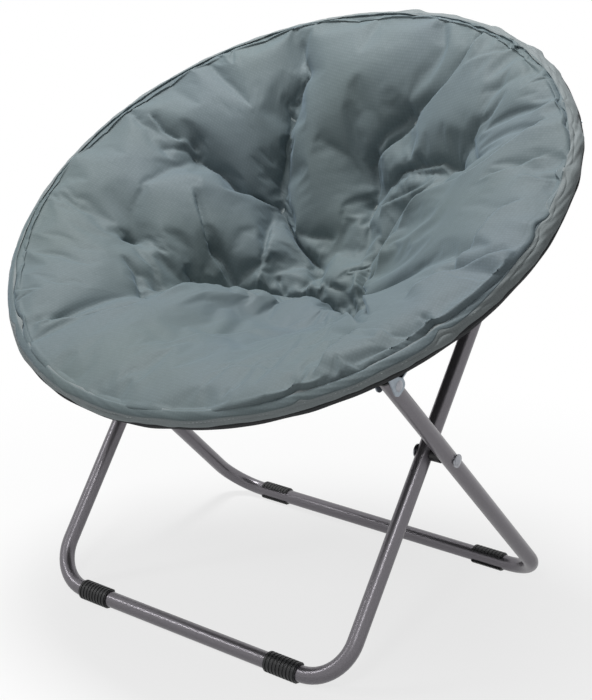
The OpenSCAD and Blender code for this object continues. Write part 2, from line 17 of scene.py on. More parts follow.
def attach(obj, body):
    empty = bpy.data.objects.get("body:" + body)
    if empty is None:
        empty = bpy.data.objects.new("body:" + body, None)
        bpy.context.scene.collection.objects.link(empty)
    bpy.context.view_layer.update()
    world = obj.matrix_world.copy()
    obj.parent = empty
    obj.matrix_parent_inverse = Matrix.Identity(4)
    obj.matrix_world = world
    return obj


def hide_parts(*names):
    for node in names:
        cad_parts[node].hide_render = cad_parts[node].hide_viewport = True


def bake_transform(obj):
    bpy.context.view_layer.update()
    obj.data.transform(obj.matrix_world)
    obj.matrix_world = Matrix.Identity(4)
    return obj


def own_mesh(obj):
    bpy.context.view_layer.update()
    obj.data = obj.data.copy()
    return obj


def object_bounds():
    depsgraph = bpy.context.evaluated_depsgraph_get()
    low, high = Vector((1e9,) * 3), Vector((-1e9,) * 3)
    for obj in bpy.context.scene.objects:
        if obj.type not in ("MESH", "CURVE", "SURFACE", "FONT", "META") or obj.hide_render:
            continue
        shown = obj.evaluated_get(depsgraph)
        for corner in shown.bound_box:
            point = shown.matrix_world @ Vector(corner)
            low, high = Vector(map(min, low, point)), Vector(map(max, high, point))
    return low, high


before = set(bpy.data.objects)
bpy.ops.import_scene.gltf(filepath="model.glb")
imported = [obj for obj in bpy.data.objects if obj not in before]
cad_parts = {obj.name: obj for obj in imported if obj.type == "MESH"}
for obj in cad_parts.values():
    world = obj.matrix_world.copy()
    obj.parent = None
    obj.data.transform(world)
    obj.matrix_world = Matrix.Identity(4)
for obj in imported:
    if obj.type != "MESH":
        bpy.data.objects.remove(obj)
cad_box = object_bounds()
cad_size = [round(high - low, 3) for low, high in zip(*cad_box)]
print(f"{len(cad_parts)} CAD pieces, in a box of {cad_size} m")

# %% [markdown]
# ## The ring's own frame
# The seat is round about the ring's axis, so the cloth is easiest to describe there.
# A place is (x, s, n): x to the sitter's left, s up the slope towards the back, and n out of the ring's
# plane towards the sitter. One function turns that into the room's frame.

# %% Sizes of the ring and the cloth round it
MM = 0.001
RING_RADIUS = 387 * MM
RING_HEIGHT = 572 * MM
RING_TILT = math.radians(33.8)
SLEEVE_R = 13 * MM
HINGE_BACK = 195 * MM
BOWL_DEPTH = 210 * MM
PAD_RADIUS = RING_RADIUS - SLEEVE_R - 0.4 * MM
SLING_T = 1.2 * MM

UP_SLOPE = np.array([0, math.cos(RING_TILT), math.sin(RING_TILT)])
OUT_OF_RING = np.array([0, -math.sin(RING_TILT), math.cos(RING_TILT)])
RING_MIDDLE = np.array([0, 0, RING_HEIGHT])


def to_room(x, s, n):
    """Ring places to room places: the middle, plus s up the slope, plus n along the ring's axis."""
    x, s, n = np.broadcast_arrays(x, s, n)
    across = np.multiply.outer(x, np.array([1.0, 0, 0]))
    return RING_MIDDLE + across + np.multiply.outer(s, UP_SLOPE) + np.multiply.outer(n, OUT_OF_RING)


def from_room(points):
    """Room places to ring places: each less the ring's middle, measured along the ring's three ways."""
    spots = points - RING_MIDDLE
    return spots[..., 0], spots @ UP_SLOPE, spots @ OUT_OF_RING


for edge, place in (("front", -RING_RADIUS), ("back", RING_RADIUS)):
    print(f"the ring's {edge} edge is {to_room(0.0, place, 0.0)[2]:.3f} m high")


# %% [markdown]
# ## The camera
# The photograph was taken from the sitter's front left, a little above the seat, with a long lens.
# The camera stands where the picture's outlines and the chair's real sizes agree, and its shift puts the
# picture's optical middle where that fit found it.

# %% Camera
IMAGE_W, IMAGE_H = 592, 700
CAMERA_AT = np.array([1.1793, -1.5505, 0.9351])
CAMERA_TURN = math.radians(38.64)
CAMERA_DROP = math.radians(15.42)
CAMERA_ROLL = math.radians(0.41)
FOCAL_PX = 1469.7
OPTICAL_MIDDLE = (245.4, 322.3)
SENSOR_MM = 36

forward = np.array([
    -math.sin(CAMERA_TURN) * math.cos(CAMERA_DROP),
    math.cos(CAMERA_TURN) * math.cos(CAMERA_DROP),
    -math.sin(CAMERA_DROP),
])
level = np.array([math.cos(CAMERA_TURN), math.sin(CAMERA_TURN), 0])
upright = np.cross(level, forward)
cam_right = math.cos(CAMERA_ROLL) * level + math.sin(CAMERA_ROLL) * upright
cam_up = -math.sin(CAMERA_ROLL) * level + math.cos(CAMERA_ROLL) * upright

camera_data = bpy.data.cameras.new("camera")
camera_data.sensor_width = SENSOR_MM
camera_data.lens = FOCAL_PX / IMAGE_H * SENSOR_MM
camera_data.shift_x = (IMAGE_W / 2 - OPTICAL_MIDDLE[0]) / IMAGE_H
camera_data.shift_y = (OPTICAL_MIDDLE[1] - IMAGE_H / 2) / IMAGE_H
camera = bpy.data.objects.new("camera", camera_data)
bpy.context.scene.collection.objects.link(camera)
stance = Matrix((cam_right, cam_up, -forward)).transposed().to_4x4()
camera.matrix_world = Matrix.Translation(Vector(CAMERA_AT)) @ stance
bpy.context.scene.camera = camera
away = np.linalg.norm(CAMERA_AT - RING_MIDDLE)
print(f"a {camera_data.lens:.1f} mm lens, {away:.2f} m from the ring's middle")

# %% [markdown]
# The folds of this one cushion are placed where they show in the photograph, as pixels with names. A pixel
# becomes a ray from the camera, and later cells follow that ray until it meets the cloth.

# %% Rays through pixels
def photo_rays(pixels):
    """Directions from the camera through pixels of the 592 x 700 picture, one row each."""
    p = np.asarray(pixels, float)
    across = (p[:, :1] - OPTICAL_MIDDLE[0]) / FOCAL_PX
    down = (p[:, 1:] - OPTICAL_MIDDLE[1]) / FOCAL_PX
    return forward + across * cam_right - down * cam_up


# %% [markdown]
# ## The bowl that the cloth hangs in
# Seen along the ring's axis the cloth is a disc, and its depth depends only on how far out a point is.
# A smooth even curve through a few listed depths gives the hanging bowl.

# %% Bowl
BOWL_RADII = np.array([0, 0.13, 0.26, 0.4, 0.53, 0.66, 0.77, 0.86, 0.93, 1])
BOWL_DEPTHS = np.array([1, 0.985, 0.93, 0.82, 0.66, 0.46, 0.27, 0.125, 0.04, 0.014])
bowl_curve = np.polyfit(BOWL_RADII**2, BOWL_DEPTHS, 5)


def bowl(x, s):
    """Height of the bowl over the ring's plane: minus the depth, times an even curve of the radius."""
    r2 = np.minimum((x**2 + s**2) / PAD_RADIUS**2, 1)
    return -BOWL_DEPTH * np.polyval(bowl_curve, r2)


def bowl_normal(x, s):
    """Unit normal of the bowl towards the sitter, from its slope by small differences."""
    e = 0.5 * MM
    gx = (bowl(x + e, s) - bowl(x - e, s)) / (2 * e)
    gs = (bowl(x, s + e) - bowl(x, s - e)) / (2 * e)
    size = np.sqrt(gx**2 + gs**2 + 1)
    return -gx / size, -gs / size, 1 / size


for share in (0, 0.5, 1):
    drop_mm = -bowl(share * PAD_RADIUS, 0.0) / MM
    print(f"at {share} of the radius the bowl hangs {drop_mm:.0f} mm under the ring")


# %% [markdown]
# ## Tufts, and the valleys between the lobes
# The filling is held by stitched tufts, and the loose cloth falls into sharp valleys between them.
# Both are placed by where they show in the photograph: a ray through each pixel is followed until it
# meets the bowl. Each valley has a depth at its two ends, as a share of the lobe that it cuts.

# %% Tufts and valleys by pixel
TUFT_PIXELS = {
    "upper_left": (194, 157),
    "upper_middle": (292, 115),
    "upper_right": (417, 117),
    "right": (465, 170),
    "middle": (376, 203),
    "lower_middle": (281, 207),
    "left": (123, 243),
}
VALLEY_PIXELS = [
    # points along the valley, depth share at its start and end
    ([(25, 330), (55, 320), (85, 314), (120, 306), (150, 303), (172, 291), (197, 288)], 0.55, 0.97),
    ([(197, 288), (235, 292), (260, 296), (292, 302), (312, 304), (332, 311), (352, 320), (365, 322)],
     0.97, 0.97),
    ([(365, 322), (352, 335), (335, 355), (322, 371)], 0.9, 0.6),
    ([(322, 371), (312, 385), (305, 405)], 0.75, 0.8),
    ([(301, 42), (303, 70), (297, 100), (292, 115)], 0.55, 0.95),
    ([(292, 115), (291, 135), (288, 170), (281, 207)], 0.9, 0.95),
    ([(281, 207), (290, 227), (302, 246), (320, 264), (314, 287), (312, 302)], 0.95, 0.85),
    ([(194, 157), (214, 173), (235, 194), (255, 199), (281, 207)], 0.9, 0.9),
    ([(194, 157), (176, 140), (157, 120)], 0.9, 0.2),
    ([(194, 157), (165, 172), (140, 190), (126, 215), (123, 243)], 0.8, 0.8),
    ([(123, 243), (130, 262), (141, 275), (150, 302)], 0.7, 0.95),
    ([(194, 192), (199, 222), (208, 243), (227, 275), (240, 291)], 0.3, 0.95),
    ([(281, 207), (264, 235), (259, 265), (256, 294)], 0.85, 0.85),
    ([(417, 117), (440, 95), (465, 67), (481, 36)], 0.9, 0.45),
    ([(417, 117), (396, 144), (378, 162), (381, 190), (376, 203)], 0.85, 0.95),
    ([(376, 203), (396, 187), (425, 172), (465, 170)], 0.9, 0.9),
    ([(465, 170), (478, 147), (497, 125), (528, 106)], 0.9, 0.35),
    ([(465, 170), (497, 158), (520, 143), (543, 128)], 0.85, 0.3),
    ([(465, 170), (440, 195), (414, 220), (394, 248), (374, 283), (366, 318)], 0.85, 0.97),
    ([(376, 203), (376, 228), (371, 262), (366, 300)], 0.9, 0.85),
    ([(425, 322), (438, 334), (446, 343)], 0.3, 0.75),
]
# a deep pocket that the near lobe hides is given by places on the ring instead, as shares of its radius
POCKET_PLACES = ([(0.23, -0.09), (0.42, -0.07), (0.62, -0.06), (0.78, -0.09), (0.9, -0.13)], 0.97, 0.6)
print(f"{len(TUFT_PIXELS)} tufts and {len(VALLEY_PIXELS) + 1} valleys")

# %% Where a pixel meets the bowl
ALONG_RAY = np.linspace(1.2, 3, 3601)[:, None, None]
PIXEL_LIFT = 12 * MM


def ray_places(pixels):
    """Ring places (x, s, n) every half millimetre along the ray through each pixel."""
    return from_room(CAMERA_AT + ALONG_RAY * photo_rays(pixels))


def first_met(x, s, gap):
    """Flat places where each ray's gap to a surface first closes, or is least if it never closes."""
    met = (np.hypot(x, s) < PAD_RADIUS) & (gap < 0)
    first = np.where(met.any(0), met.argmax(0), np.abs(gap).argmin(0))
    pick = np.arange(first.size)
    return x[first, pick], s[first, pick]


def meet_bowl(pixels):
    """Where the rays first reach the bowl, lifted by about half a thin cushion: (x, s) for each pixel."""
    x, s, n = ray_places(pixels)
    return np.stack(first_met(x, s, n - bowl(x, s) - PIXEL_LIFT), 1)


tufts = dict(zip(TUFT_PIXELS, meet_bowl(list(TUFT_PIXELS.values()))))
for name, (x, s) in tufts.items():
    print(f"tuft {name}: {x / MM:.0f} mm to the left, {s / MM:.0f} mm up the slope")

# %% [markdown]
# ## How thick the cushion is
# A pressed membrane gives the lobes: its height solves the pressed-soap-film equation, with the height
# held at the rim, at the tufts and along the valleys. The grid starts coarse and is refined, because
# that settles the equation quickly. The cover is sewn on along the top of the ring, so it reaches past
# the bowl's edge to the middle of the tube.

# %% A film on a grid
COVER_RADIUS = RING_RADIUS + 3 * MM


def refine(values, size):
    """Bilinear copy of a square field onto a grid with size points a side."""
    old = np.linspace(-1, 1, len(values))
    new = np.linspace(-1, 1, size)
    rows = np.stack([np.interp(new, old, row) for row in values])
    return np.stack([np.interp(new, old, col) for col in rows.T]).T


def press(held, value, load, start, rounds):
    """Solves the film equation by red and black sweeps.

    A free point becomes its four neighbours' mean plus load * step^2 / 4, and goes a little past it.
    """
    size = len(start)
    step = 2 * COVER_RADIUS / (size - 1)
    field = np.where(held, value, start)
    rank = np.add.outer(np.arange(size), np.arange(size)) % 2
    over_relax = 2 / (1 + math.sin(math.pi / size))
    for _ in range(rounds):
        for colour in (0, 1):
            mean = np.zeros_like(field)
            beside = field[2:, 1:-1] + field[:-2, 1:-1]
            mean[1:-1, 1:-1] = (beside + field[1:-1, 2:] + field[1:-1, :-2]) / 4
            target = mean + load * step**2 / 4
            moved = field + over_relax * (target - field)
            field = np.where(held | (rank != colour), field, moved)
    return field


# %% Valleys as lines
def dense(points, spacing=1 * MM):
    """A polyline's points at an even spacing, with each point's share of the whole length."""
    length = np.concatenate([[0], np.cumsum(np.hypot(*np.diff(points, axis=0).T))])
    at = np.arange(0, length[-1], spacing)
    return np.stack([np.interp(at, length, points[:, i]) for i in (0, 1)], 1), at / length[-1]


def valley_lines(spacing=1 * MM):
    """Each valley as dense flat points with shares, and its depth shares at the start and the end."""
    lines = [(meet_bowl(pixels), a, b) for pixels, a, b in VALLEY_PIXELS]
    places, a, b = POCKET_PLACES
    lines.append((np.array(places) * COVER_RADIUS, a, b))
    return [(dense(points, spacing), a, b) for points, a, b in lines]


valley_length = sum(points.shape[0] for (points, _), _, _ in valley_lines())
print(f"the valleys are {valley_length * MM:.1f} m long together")

# %% [markdown]
# Near the rim the filling stops, so the lobes are kept under a straight fall from the seam. A hard limit
# would leave a crease there, so the two are joined by a soft least.

# %% Flat at the rim
RIM_DROP = 0.22
RIM_BLEND = 4 * MM
RIM_BLEND_BACK = 0.2
LEAST_MOST = 6 * MM


def flat_at_rim(field):
    """Keeps t under a fall m of RIM_DROP from the seam, by the soft least -b log(e^-t/b + e^-m/b)."""
    axis = np.linspace(-COVER_RADIUS, COVER_RADIUS, len(field))
    x, s = np.meshgrid(axis, axis, indexing="ij")
    fall = SLEEVE_R - RIM_DROP * (COVER_RADIUS - np.hypot(x, s))
    most = np.maximum((fall - bowl(x, s)) * bowl_normal(x, s)[2], LEAST_MOST)
    least = -RIM_BLEND * np.log(np.exp(-field / RIM_BLEND) + np.exp(-most / RIM_BLEND))
    return least + RIM_BLEND * RIM_BLEND_BACK


# %% Thickness field
FIELD_STEPS = 320
SWEEPS = 120
RIM_CELLS = 1.2
EDGE_T = SLEEVE_R + 2.7 * MM
TUFT_T = 6 * MM
TUFT_R = 5 * MM
LOBE_SPAN = 360 * MM
LOBE_T = 112 * MM
FULL_T = 51 * MM


def hold_valleys(held, value, base, lines):
    """Holds the points along each valley at the free height, less the valley's depth share of it."""
    size = len(base)
    for (points, share), a, b in lines:
        spot = (points.T / COVER_RADIUS + 1) / 2 * (size - 1)
        i, j = np.clip(np.rint(spot).astype(int), 0, size - 1)
        depth = a + (b - a) * share
        low = np.minimum(TUFT_T + (base[i, j] - TUFT_T) * (1 - depth), base[i, j])
        loose = ~held[i, j]
        value[i[loose], j[loose]] = low[loose]
        held[i, j] = True


def thickness_field():
    """The cushion's thickness on a square grid over the ring, x along rows and s along columns.

    The load 16 * height / width^2 lifts a round lobe LOBE_SPAN wide by LOBE_T. The film's height h becomes
    FULL_T * tanh(h / FULL_T), because a quilt's filling stops growing.
    """
    lines = valley_lines()
    field = np.zeros((20, 20))
    free = None
    for stage in ("lobes", "valleys"):
        for size in (40, 80, 160, FIELD_STEPS):
            axis = np.linspace(-COVER_RADIUS, COVER_RADIUS, size)
            x, s = np.meshgrid(axis, axis, indexing="ij")
            held = np.hypot(x, s) >= COVER_RADIUS * (1 - RIM_CELLS / size)
            value = np.full_like(x, EDGE_T)
            for spot in tufts.values():
                near = np.hypot(x - spot[0], s - spot[1]) < max(TUFT_R, COVER_RADIUS / size)
                held |= near
                value[near] = TUFT_T
            if stage == "valleys":
                hold_valleys(held, value, refine(free, size), lines)
            load = 16 * LOBE_T / LOBE_SPAN**2
            field = press(held, value, load, refine(field, size), SWEEPS)
        if stage == "lobes":
            free = field
    return flat_at_rim(FULL_T * np.tanh(field / FULL_T))


thickness = thickness_field()
print(f"the cushion is {thickness.min() / MM:.0f} to {thickness.max() / MM:.0f} mm thick")

# %% Between the grid's points
def sample(field, x, s):
    """A field's value at ring places, between its grid points."""
    u = (np.clip(x / COVER_RADIUS, -1, 1) + 1) / 2 * (len(field) - 1)
    v = (np.clip(s / COVER_RADIUS, -1, 1) + 1) / 2 * (len(field) - 1)
    i = np.minimum(u.astype(int), len(field) - 2)
    j = np.minimum(v.astype(int), len(field) - 2)
    fu, fv = u - i, v - j
    low = field[i, j] * (1 - fu) + field[i + 1, j] * fu
    high = field[i, j + 1] * (1 - fu) + field[i + 1, j + 1] * fu
    return low * (1 - fv) + high * fv


# %% [markdown]
# ## Building a mesh from a grid
# Every new piece is one or more grids of points. This helper joins the grids' cells into faces, and
# keeps a flat copy of the cloth's own coordinates in a UV map, so that a weave follows the cloth.

# %% Mesh helpers
def add_mesh(name, points, faces, uv=None, smooth=True):
    """A mesh object at the origin from points (n, 3) and rows of their numbers, with one UV pair a point."""
    mesh = bpy.data.meshes.new(name)
    mesh.from_pydata(points.tolist(), [], [list(face) for face in faces])
    if uv is not None:
        layer = mesh.uv_layers.new(name="cloth")
        corner = np.empty(len(mesh.loops), int)
        mesh.loops.foreach_get("vertex_index", corner)
        layer.data.foreach_set("uv", np.asarray(uv, np.float32)[corner].ravel())
    mesh.polygons.foreach_set("use_smooth", [smooth] * len(mesh.polygons))
    obj = bpy.data.objects.new(name, mesh)
    bpy.context.scene.collection.objects.link(obj)
    return obj


def drop(obj):
    """Removes an object and its mesh, once copies of its parts are made."""
    data = obj.data
    bpy.data.objects.remove(obj)
    bpy.data.meshes.remove(data)


def grid_faces(rows, cols, wrap=False, first=0):
    """Quads of a rows x cols grid of points, closed round its columns if wrap."""
    i, j = np.meshgrid(np.arange(rows - 1), np.arange(cols if wrap else cols - 1), indexing="ij")
    k = (j + 1) % cols
    near, far = i * cols, (i + 1) * cols
    return first + np.stack([near + j, far + j, far + k, near + k], -1).reshape(-1, 4)


# %% A disc without a pole
def disc(a, b):
    """Places (a, b) of a square, moved onto the unit disc: the square's rings become circles."""
    big = np.maximum(np.abs(a), np.abs(b))
    size = np.maximum(np.hypot(a, b), 1e-9)
    return a * big / size, b * big / size


def square_disc(size):
    """A size x size grid of places (u, v) on the unit disc."""
    line = np.linspace(-1, 1, size)
    return disc(*np.meshgrid(line, line, indexing="ij"))


# %% [markdown]
# ## Where the seam is drawn in
# The seam between the cushion and the rim's band isn't a true circle: at the ends of the deep folds the
# filling draws it inwards, and the band stands up behind it as a small collar.

# %% Drawn-in places by pixel
SEAM_DIPS = [
    # pixel at the rim, how far the seam is drawn in (mm), half width (mm)
    ((562, 114), 8, 9),
    ((574, 134), 4, 9),
    ((560, 176), 9, 12),
    ((552, 205), 5, 12),
    ((540, 232), 8, 12),
    ((526, 51), 5, 7),
    ((482, 35), 3, 8),
    ((301, 40), 3, 8),
    ((446, 342), 5, 9),
    ((303, 407), 3, 7),
    ((26, 332), 5, 10),
    ((150, 115), 2, 9),
]
SEAM_UNEVEN = 0.7 * MM
print(f"the seam is drawn in at {len(SEAM_DIPS)} places")

# %% Places round the ring
def round_ring(turn, theta, radius):
    """A place on a tube round the ring: turn round the ring, theta round the tube from straight out."""
    out = RING_RADIUS + radius * np.cos(theta)
    return to_room(out * np.cos(turn), out * np.sin(turn), radius * np.sin(theta))


def ring_turns(pixels, count=3600):
    """Turns round the ring whose places show nearest to the pixels."""
    turn = np.linspace(-math.pi, math.pi, count, endpoint=False)
    spots = round_ring(turn, 0.0, SLEEVE_R) - CAMERA_AT
    ahead = spots @ forward
    across = OPTICAL_MIDDLE[0] + FOCAL_PX * (spots @ cam_right) / ahead
    down = OPTICAL_MIDDLE[1] - FOCAL_PX * (spots @ cam_up) / ahead
    away = np.hypot(across - np.asarray(pixels, float)[:, :1], down - np.asarray(pixels, float)[:, 1:])
    return turn[away.argmin(1)]


def waves(turn, seed, count=7, low=3, high=40):
    """A repeatable uneven wave round the ring: sines of whole numbers of turns with fixed phases."""
    rng = np.random.default_rng(seed)
    k = rng.integers(low, high, count)
    phase = rng.uniform(0, 2 * math.pi, count)
    return sum(np.sin(i * turn + p) / math.sqrt(count) for i, p in zip(k, phase))


# %% How far the seam is drawn in
dip_turns = ring_turns([pixel for pixel, _, _ in SEAM_DIPS])


def dips(turn):
    """How far the seam is drawn in: an uneven wave, plus a bump e^-(d / half width)^2 at each place."""
    drawn = SEAM_UNEVEN * (1 + waves(turn, 31, 7, 6, 40))
    for at, (_, deep, half) in zip(dip_turns, SEAM_DIPS):
        d = np.abs((turn - at + math.pi) % (2 * math.pi) - math.pi) * RING_RADIUS
        drawn = drawn + deep * MM * np.exp(-((d / (half * MM)) ** 2))
    return np.maximum(drawn, 0)


round_once = np.linspace(0, 2 * math.pi, 720)
print(f"the seam is drawn in by {dips(round_once).mean() / MM:.1f} mm on average")


# %% [markdown]
# ## The cushion
# The top is the bowl, raised by the thickness along the bowl's own normal. The underside lies on the
# sling. A square grid mapped to the disc has no pole, so the seat's middle stays as smooth as the rest.

# %% Cushion's upper skin
TOP_STEPS = 281


def cushion_top(size):
    """Points of the cushion's upper skin on a size x size grid, with their flat places."""
    u, v = square_disc(size)
    x, s = u * COVER_RADIUS, v * COVER_RADIUS
    t = sample(thickness, x, s)
    nx, ns, nn = bowl_normal(x, s)
    return np.stack([x + t * nx, s + t * ns, bowl(x, s) + t * nn], -1), np.stack([x, s], -1)


top, flat = cushion_top(TOP_STEPS)
print(f"the upper skin has {top.shape[0]} x {top.shape[1]} points")


# %% [markdown]
# The real cover is cut with some spare cloth, which buckles into sharp folds between the tufts. No
# formula gives those folds well, so the skin is run for a moment as pressed cloth that is a little too
# large, held at the rim, the tufts and the deepest valleys. The run always gives the same result. The
# movement it finds is added to the fine skin.

# %% Where the cloth is sewn, and where it is spare
FIRM_FROM = 0.93
RIM_FROM = 0.995
STITCH_REACH = 3 * MM
EXTRA_MIDDLE = np.array([0, 0.13]) * RING_RADIUS
EXTRA_REACH = 0.6 * RING_RADIUS


def sewn_weights(flat):
    """How firmly each point is held: wholly at the rim and the tufts, and by its depth in a deep valley."""
    x, s = flat[..., 0], flat[..., 1]
    weight = (np.hypot(x, s) > COVER_RADIUS * RIM_FROM).astype(float)
    for spot in tufts.values():
        weight[np.hypot(x - spot[0], s - spot[1]) < TUFT_R] = 1
    for (points, share), a, b in valley_lines(2 * MM):
        depth = a + (b - a) * share
        for point, d in zip(points, depth):
            near = np.hypot(x - point[0], s - point[1]) < STITCH_REACH
            weight[near] = np.maximum(weight[near], d if d > FIRM_FROM else 0)
    return weight


def tightness(flat):
    """How little cloth is spare: 1 - e^-(d / reach)^2, from the place where the back meets the seat."""
    away = np.linalg.norm(flat - EXTRA_MIDDLE, axis=-1)
    return 1 - np.exp(-((away / EXTRA_REACH) ** 2))


# %% The run
SIM_STEPS = 181
SIM_FRAMES = 20
EXTRA_CLOTH = 0.08
LEAST_EXTRA = 0.028
TIGHT_LEVELS = 20
PRESSURE = 2
BENDING = 2
MOST_MOVE = 22 * MM


def add_group(obj, name, weights):
    """A vertex group with one weight a point, if it has any; points of one weight are added together."""
    group = obj.vertex_groups.new(name=name)
    for w in np.unique(weights[weights > 0]):
        group.add(np.flatnonzero(weights == w).tolist(), float(w), "REPLACE")


def add_cloth(obj):
    """The cloth settings: light polyester, pressed from below, without gravity, some of it cut too large."""
    cloth = obj.modifiers.new("cloth", "CLOTH")
    cloth.settings.quality = 6
    cloth.settings.mass = 0.15
    cloth.settings.air_damping = 4
    cloth.settings.tension_stiffness = 20
    cloth.settings.compression_stiffness = 20
    cloth.settings.shear_stiffness = 8
    cloth.settings.bending_stiffness = BENDING
    cloth.settings.vertex_group_shrink = "tight"
    cloth.settings.shrink_min = -EXTRA_CLOTH
    cloth.settings.shrink_max = -LEAST_EXTRA
    cloth.settings.vertex_group_mass = "sewn"
    cloth.settings.pin_stiffness = 1
    cloth.settings.use_pressure = True
    cloth.settings.uniform_pressure_force = PRESSURE
    cloth.settings.effector_weights.gravity = 0
    cloth.collision_settings.use_collision = False
    cloth.point_cache.frame_end = SIM_FRAMES


def settle(points, weight, tight):
    """Runs the skin as pressed cloth with some spare cloth, and returns where it comes to rest."""
    size = len(points)
    places = to_room(*np.moveaxis(points, -1, 0)).reshape(-1, 3)
    obj = add_mesh("cloth_run", places, grid_faces(size, size))
    add_group(obj, "sewn", weight.ravel())
    add_group(obj, "tight", np.round(tight.ravel() * TIGHT_LEVELS) / TIGHT_LEVELS)
    add_cloth(obj)
    for number in range(1, SIM_FRAMES + 1):
        bpy.context.scene.frame_set(number)
    done = obj.evaluated_get(bpy.context.evaluated_depsgraph_get())
    found = np.empty(len(done.data.vertices) * 3, np.float32)
    done.data.vertices.foreach_get("co", found)
    bpy.context.scene.frame_set(1)
    drop(obj)
    return np.stack(from_room(found.reshape(size, size, 3)), -1)


start, start_flat = cushion_top(SIM_STEPS)
moved = settle(start, sewn_weights(start_flat), tightness(start_flat)) - start
far = np.linalg.norm(moved, axis=-1, keepdims=True)
print(f"the run moved the cloth by up to {far.max() / MM:.0f} mm; {MOST_MOVE / MM:.0f} mm are kept")
moved *= np.minimum(1, MOST_MOVE / np.maximum(far, 1e-9))
top = top + np.stack([refine(moved[..., i], TOP_STEPS) for i in range(3)], -1)


# %% [markdown]
# The main folds of this chair's own cloth are laid on last. A fold is a lobe's edge that stands over its
# neighbour: the cloth rises to a crisp crest on one side, and drops behind it on the other. They could be
# carved by hand with the sculpting brushes, but lines of pixels can be read, changed and run again.

# %% Folds by pixel
FOLDS = [
    # pixels along the crest, a pixel on the high side, rise and drop (mm), reach (mm)
    ([(40, 324), (62, 317), (82, 313), (104, 307), (124, 304), (142, 302)],
     (110, 340), 4, 12, 26),
    ([(156, 301), (180, 289), (197, 288), (220, 290), (245, 292), (262, 296), (285, 303)],
     (200, 330), 6, 16, 26),
    ([(280, 302), (295, 304), (310, 303), (330, 308), (345, 316), (357, 321), (366, 322)],
     (280, 330), 6, 16, 24),
    ([(322, 372), (332, 358), (345, 342), (357, 327)], (400, 330), 7, 9, 24),
    ([(400, 296), (420, 287), (445, 276), (470, 269), (492, 262), (510, 253)], (440, 310), 10, 8, 26),
    ([(366, 310), (370, 298), (378, 281), (390, 262), (400, 244), (415, 222), (430, 205), (445, 193),
      (462, 181)], (450, 220), 12, 12, 22),
    ([(458, 184), (472, 174), (490, 163), (520, 143), (545, 127)], (510, 170), 8, 12, 20),
    ([(444, 273), (460, 256), (475, 242), (490, 225), (500, 217), (522, 205)], (500, 240), 7, 7, 20),
    ([(418, 118), (430, 103), (445, 83), (460, 65), (475, 47), (483, 35)], (450, 110), 7, 8, 20),
    ([(386, 160), (395, 147), (408, 131), (420, 118)], (420, 150), 6, 12, 16),
    ([(462, 174), (445, 169), (425, 171), (408, 177), (393, 190)], (430, 190), 6, 10, 16),
    ([(383, 219), (388, 209), (398, 204), (412, 199), (432, 189)], (420, 215), 6, 9, 14),
    ([(193, 192), (197, 212), (202, 230), (206, 244), (214, 259), (226, 276), (233, 287)],
     (185, 250), 5, 9, 16),
    ([(277, 216), (270, 230), (265, 247), (259, 263)], (280, 240), 4, 5, 14),
    ([(302, 62), (306, 73), (300, 86), (297, 100), (293, 112)], (285, 80), 4, 9, 16),
    ([(197, 160), (212, 171), (226, 181), (238, 193), (250, 197), (266, 206)], (220, 200), 6, 12, 18),
    ([(152, 116), (164, 130), (176, 140), (190, 152)], (160, 150), 4, 8, 18),
    ([(480, 184), (505, 176), (530, 165), (543, 160)], (520, 180), 4, 4, 16),
    ([(520, 180), (536, 183), (553, 187)], (530, 200), 4, 5, 12),
    ([(462, 69), (480, 62), (500, 56), (524, 50)], (490, 75), 3, 3, 14),
    ([(205, 379), (225, 369), (250, 364), (275, 369), (300, 379)], (250, 385), 2.2, 1.5, 20),
    ([(130, 350), (165, 340), (200, 336), (240, 333), (280, 326), (310, 318)], (220, 350), 2.0, 1.5, 20),
    ([(250, 362), (280, 350), (305, 340), (330, 334), (350, 334)], (300, 360), 2.5, 2, 16),
    ([(440, 342), (428, 341), (412, 343), (395, 341), (378, 335)], (410, 355), 3, 3, 14),
    ([(420, 322), (430, 330), (440, 340)], (425, 345), 3, 7, 12),
    ([(500, 278), (480, 285), (458, 284), (445, 280)], (470, 300), 3, 3, 14),
    ([(302, 406), (305, 392), (309, 380)], (320, 390), 4, 6, 9),
    ([(316, 377), (323, 371), (333, 359)], (335, 375), 3, 5, 9),
]
print(f"{len(FOLDS)} folds, of which the highest rises {max(row[2] for row in FOLDS)} mm")

# %% [markdown]
# A groove is a pinch between two lobes, sharp at its bottom. Folds and grooves fade out at their ends.

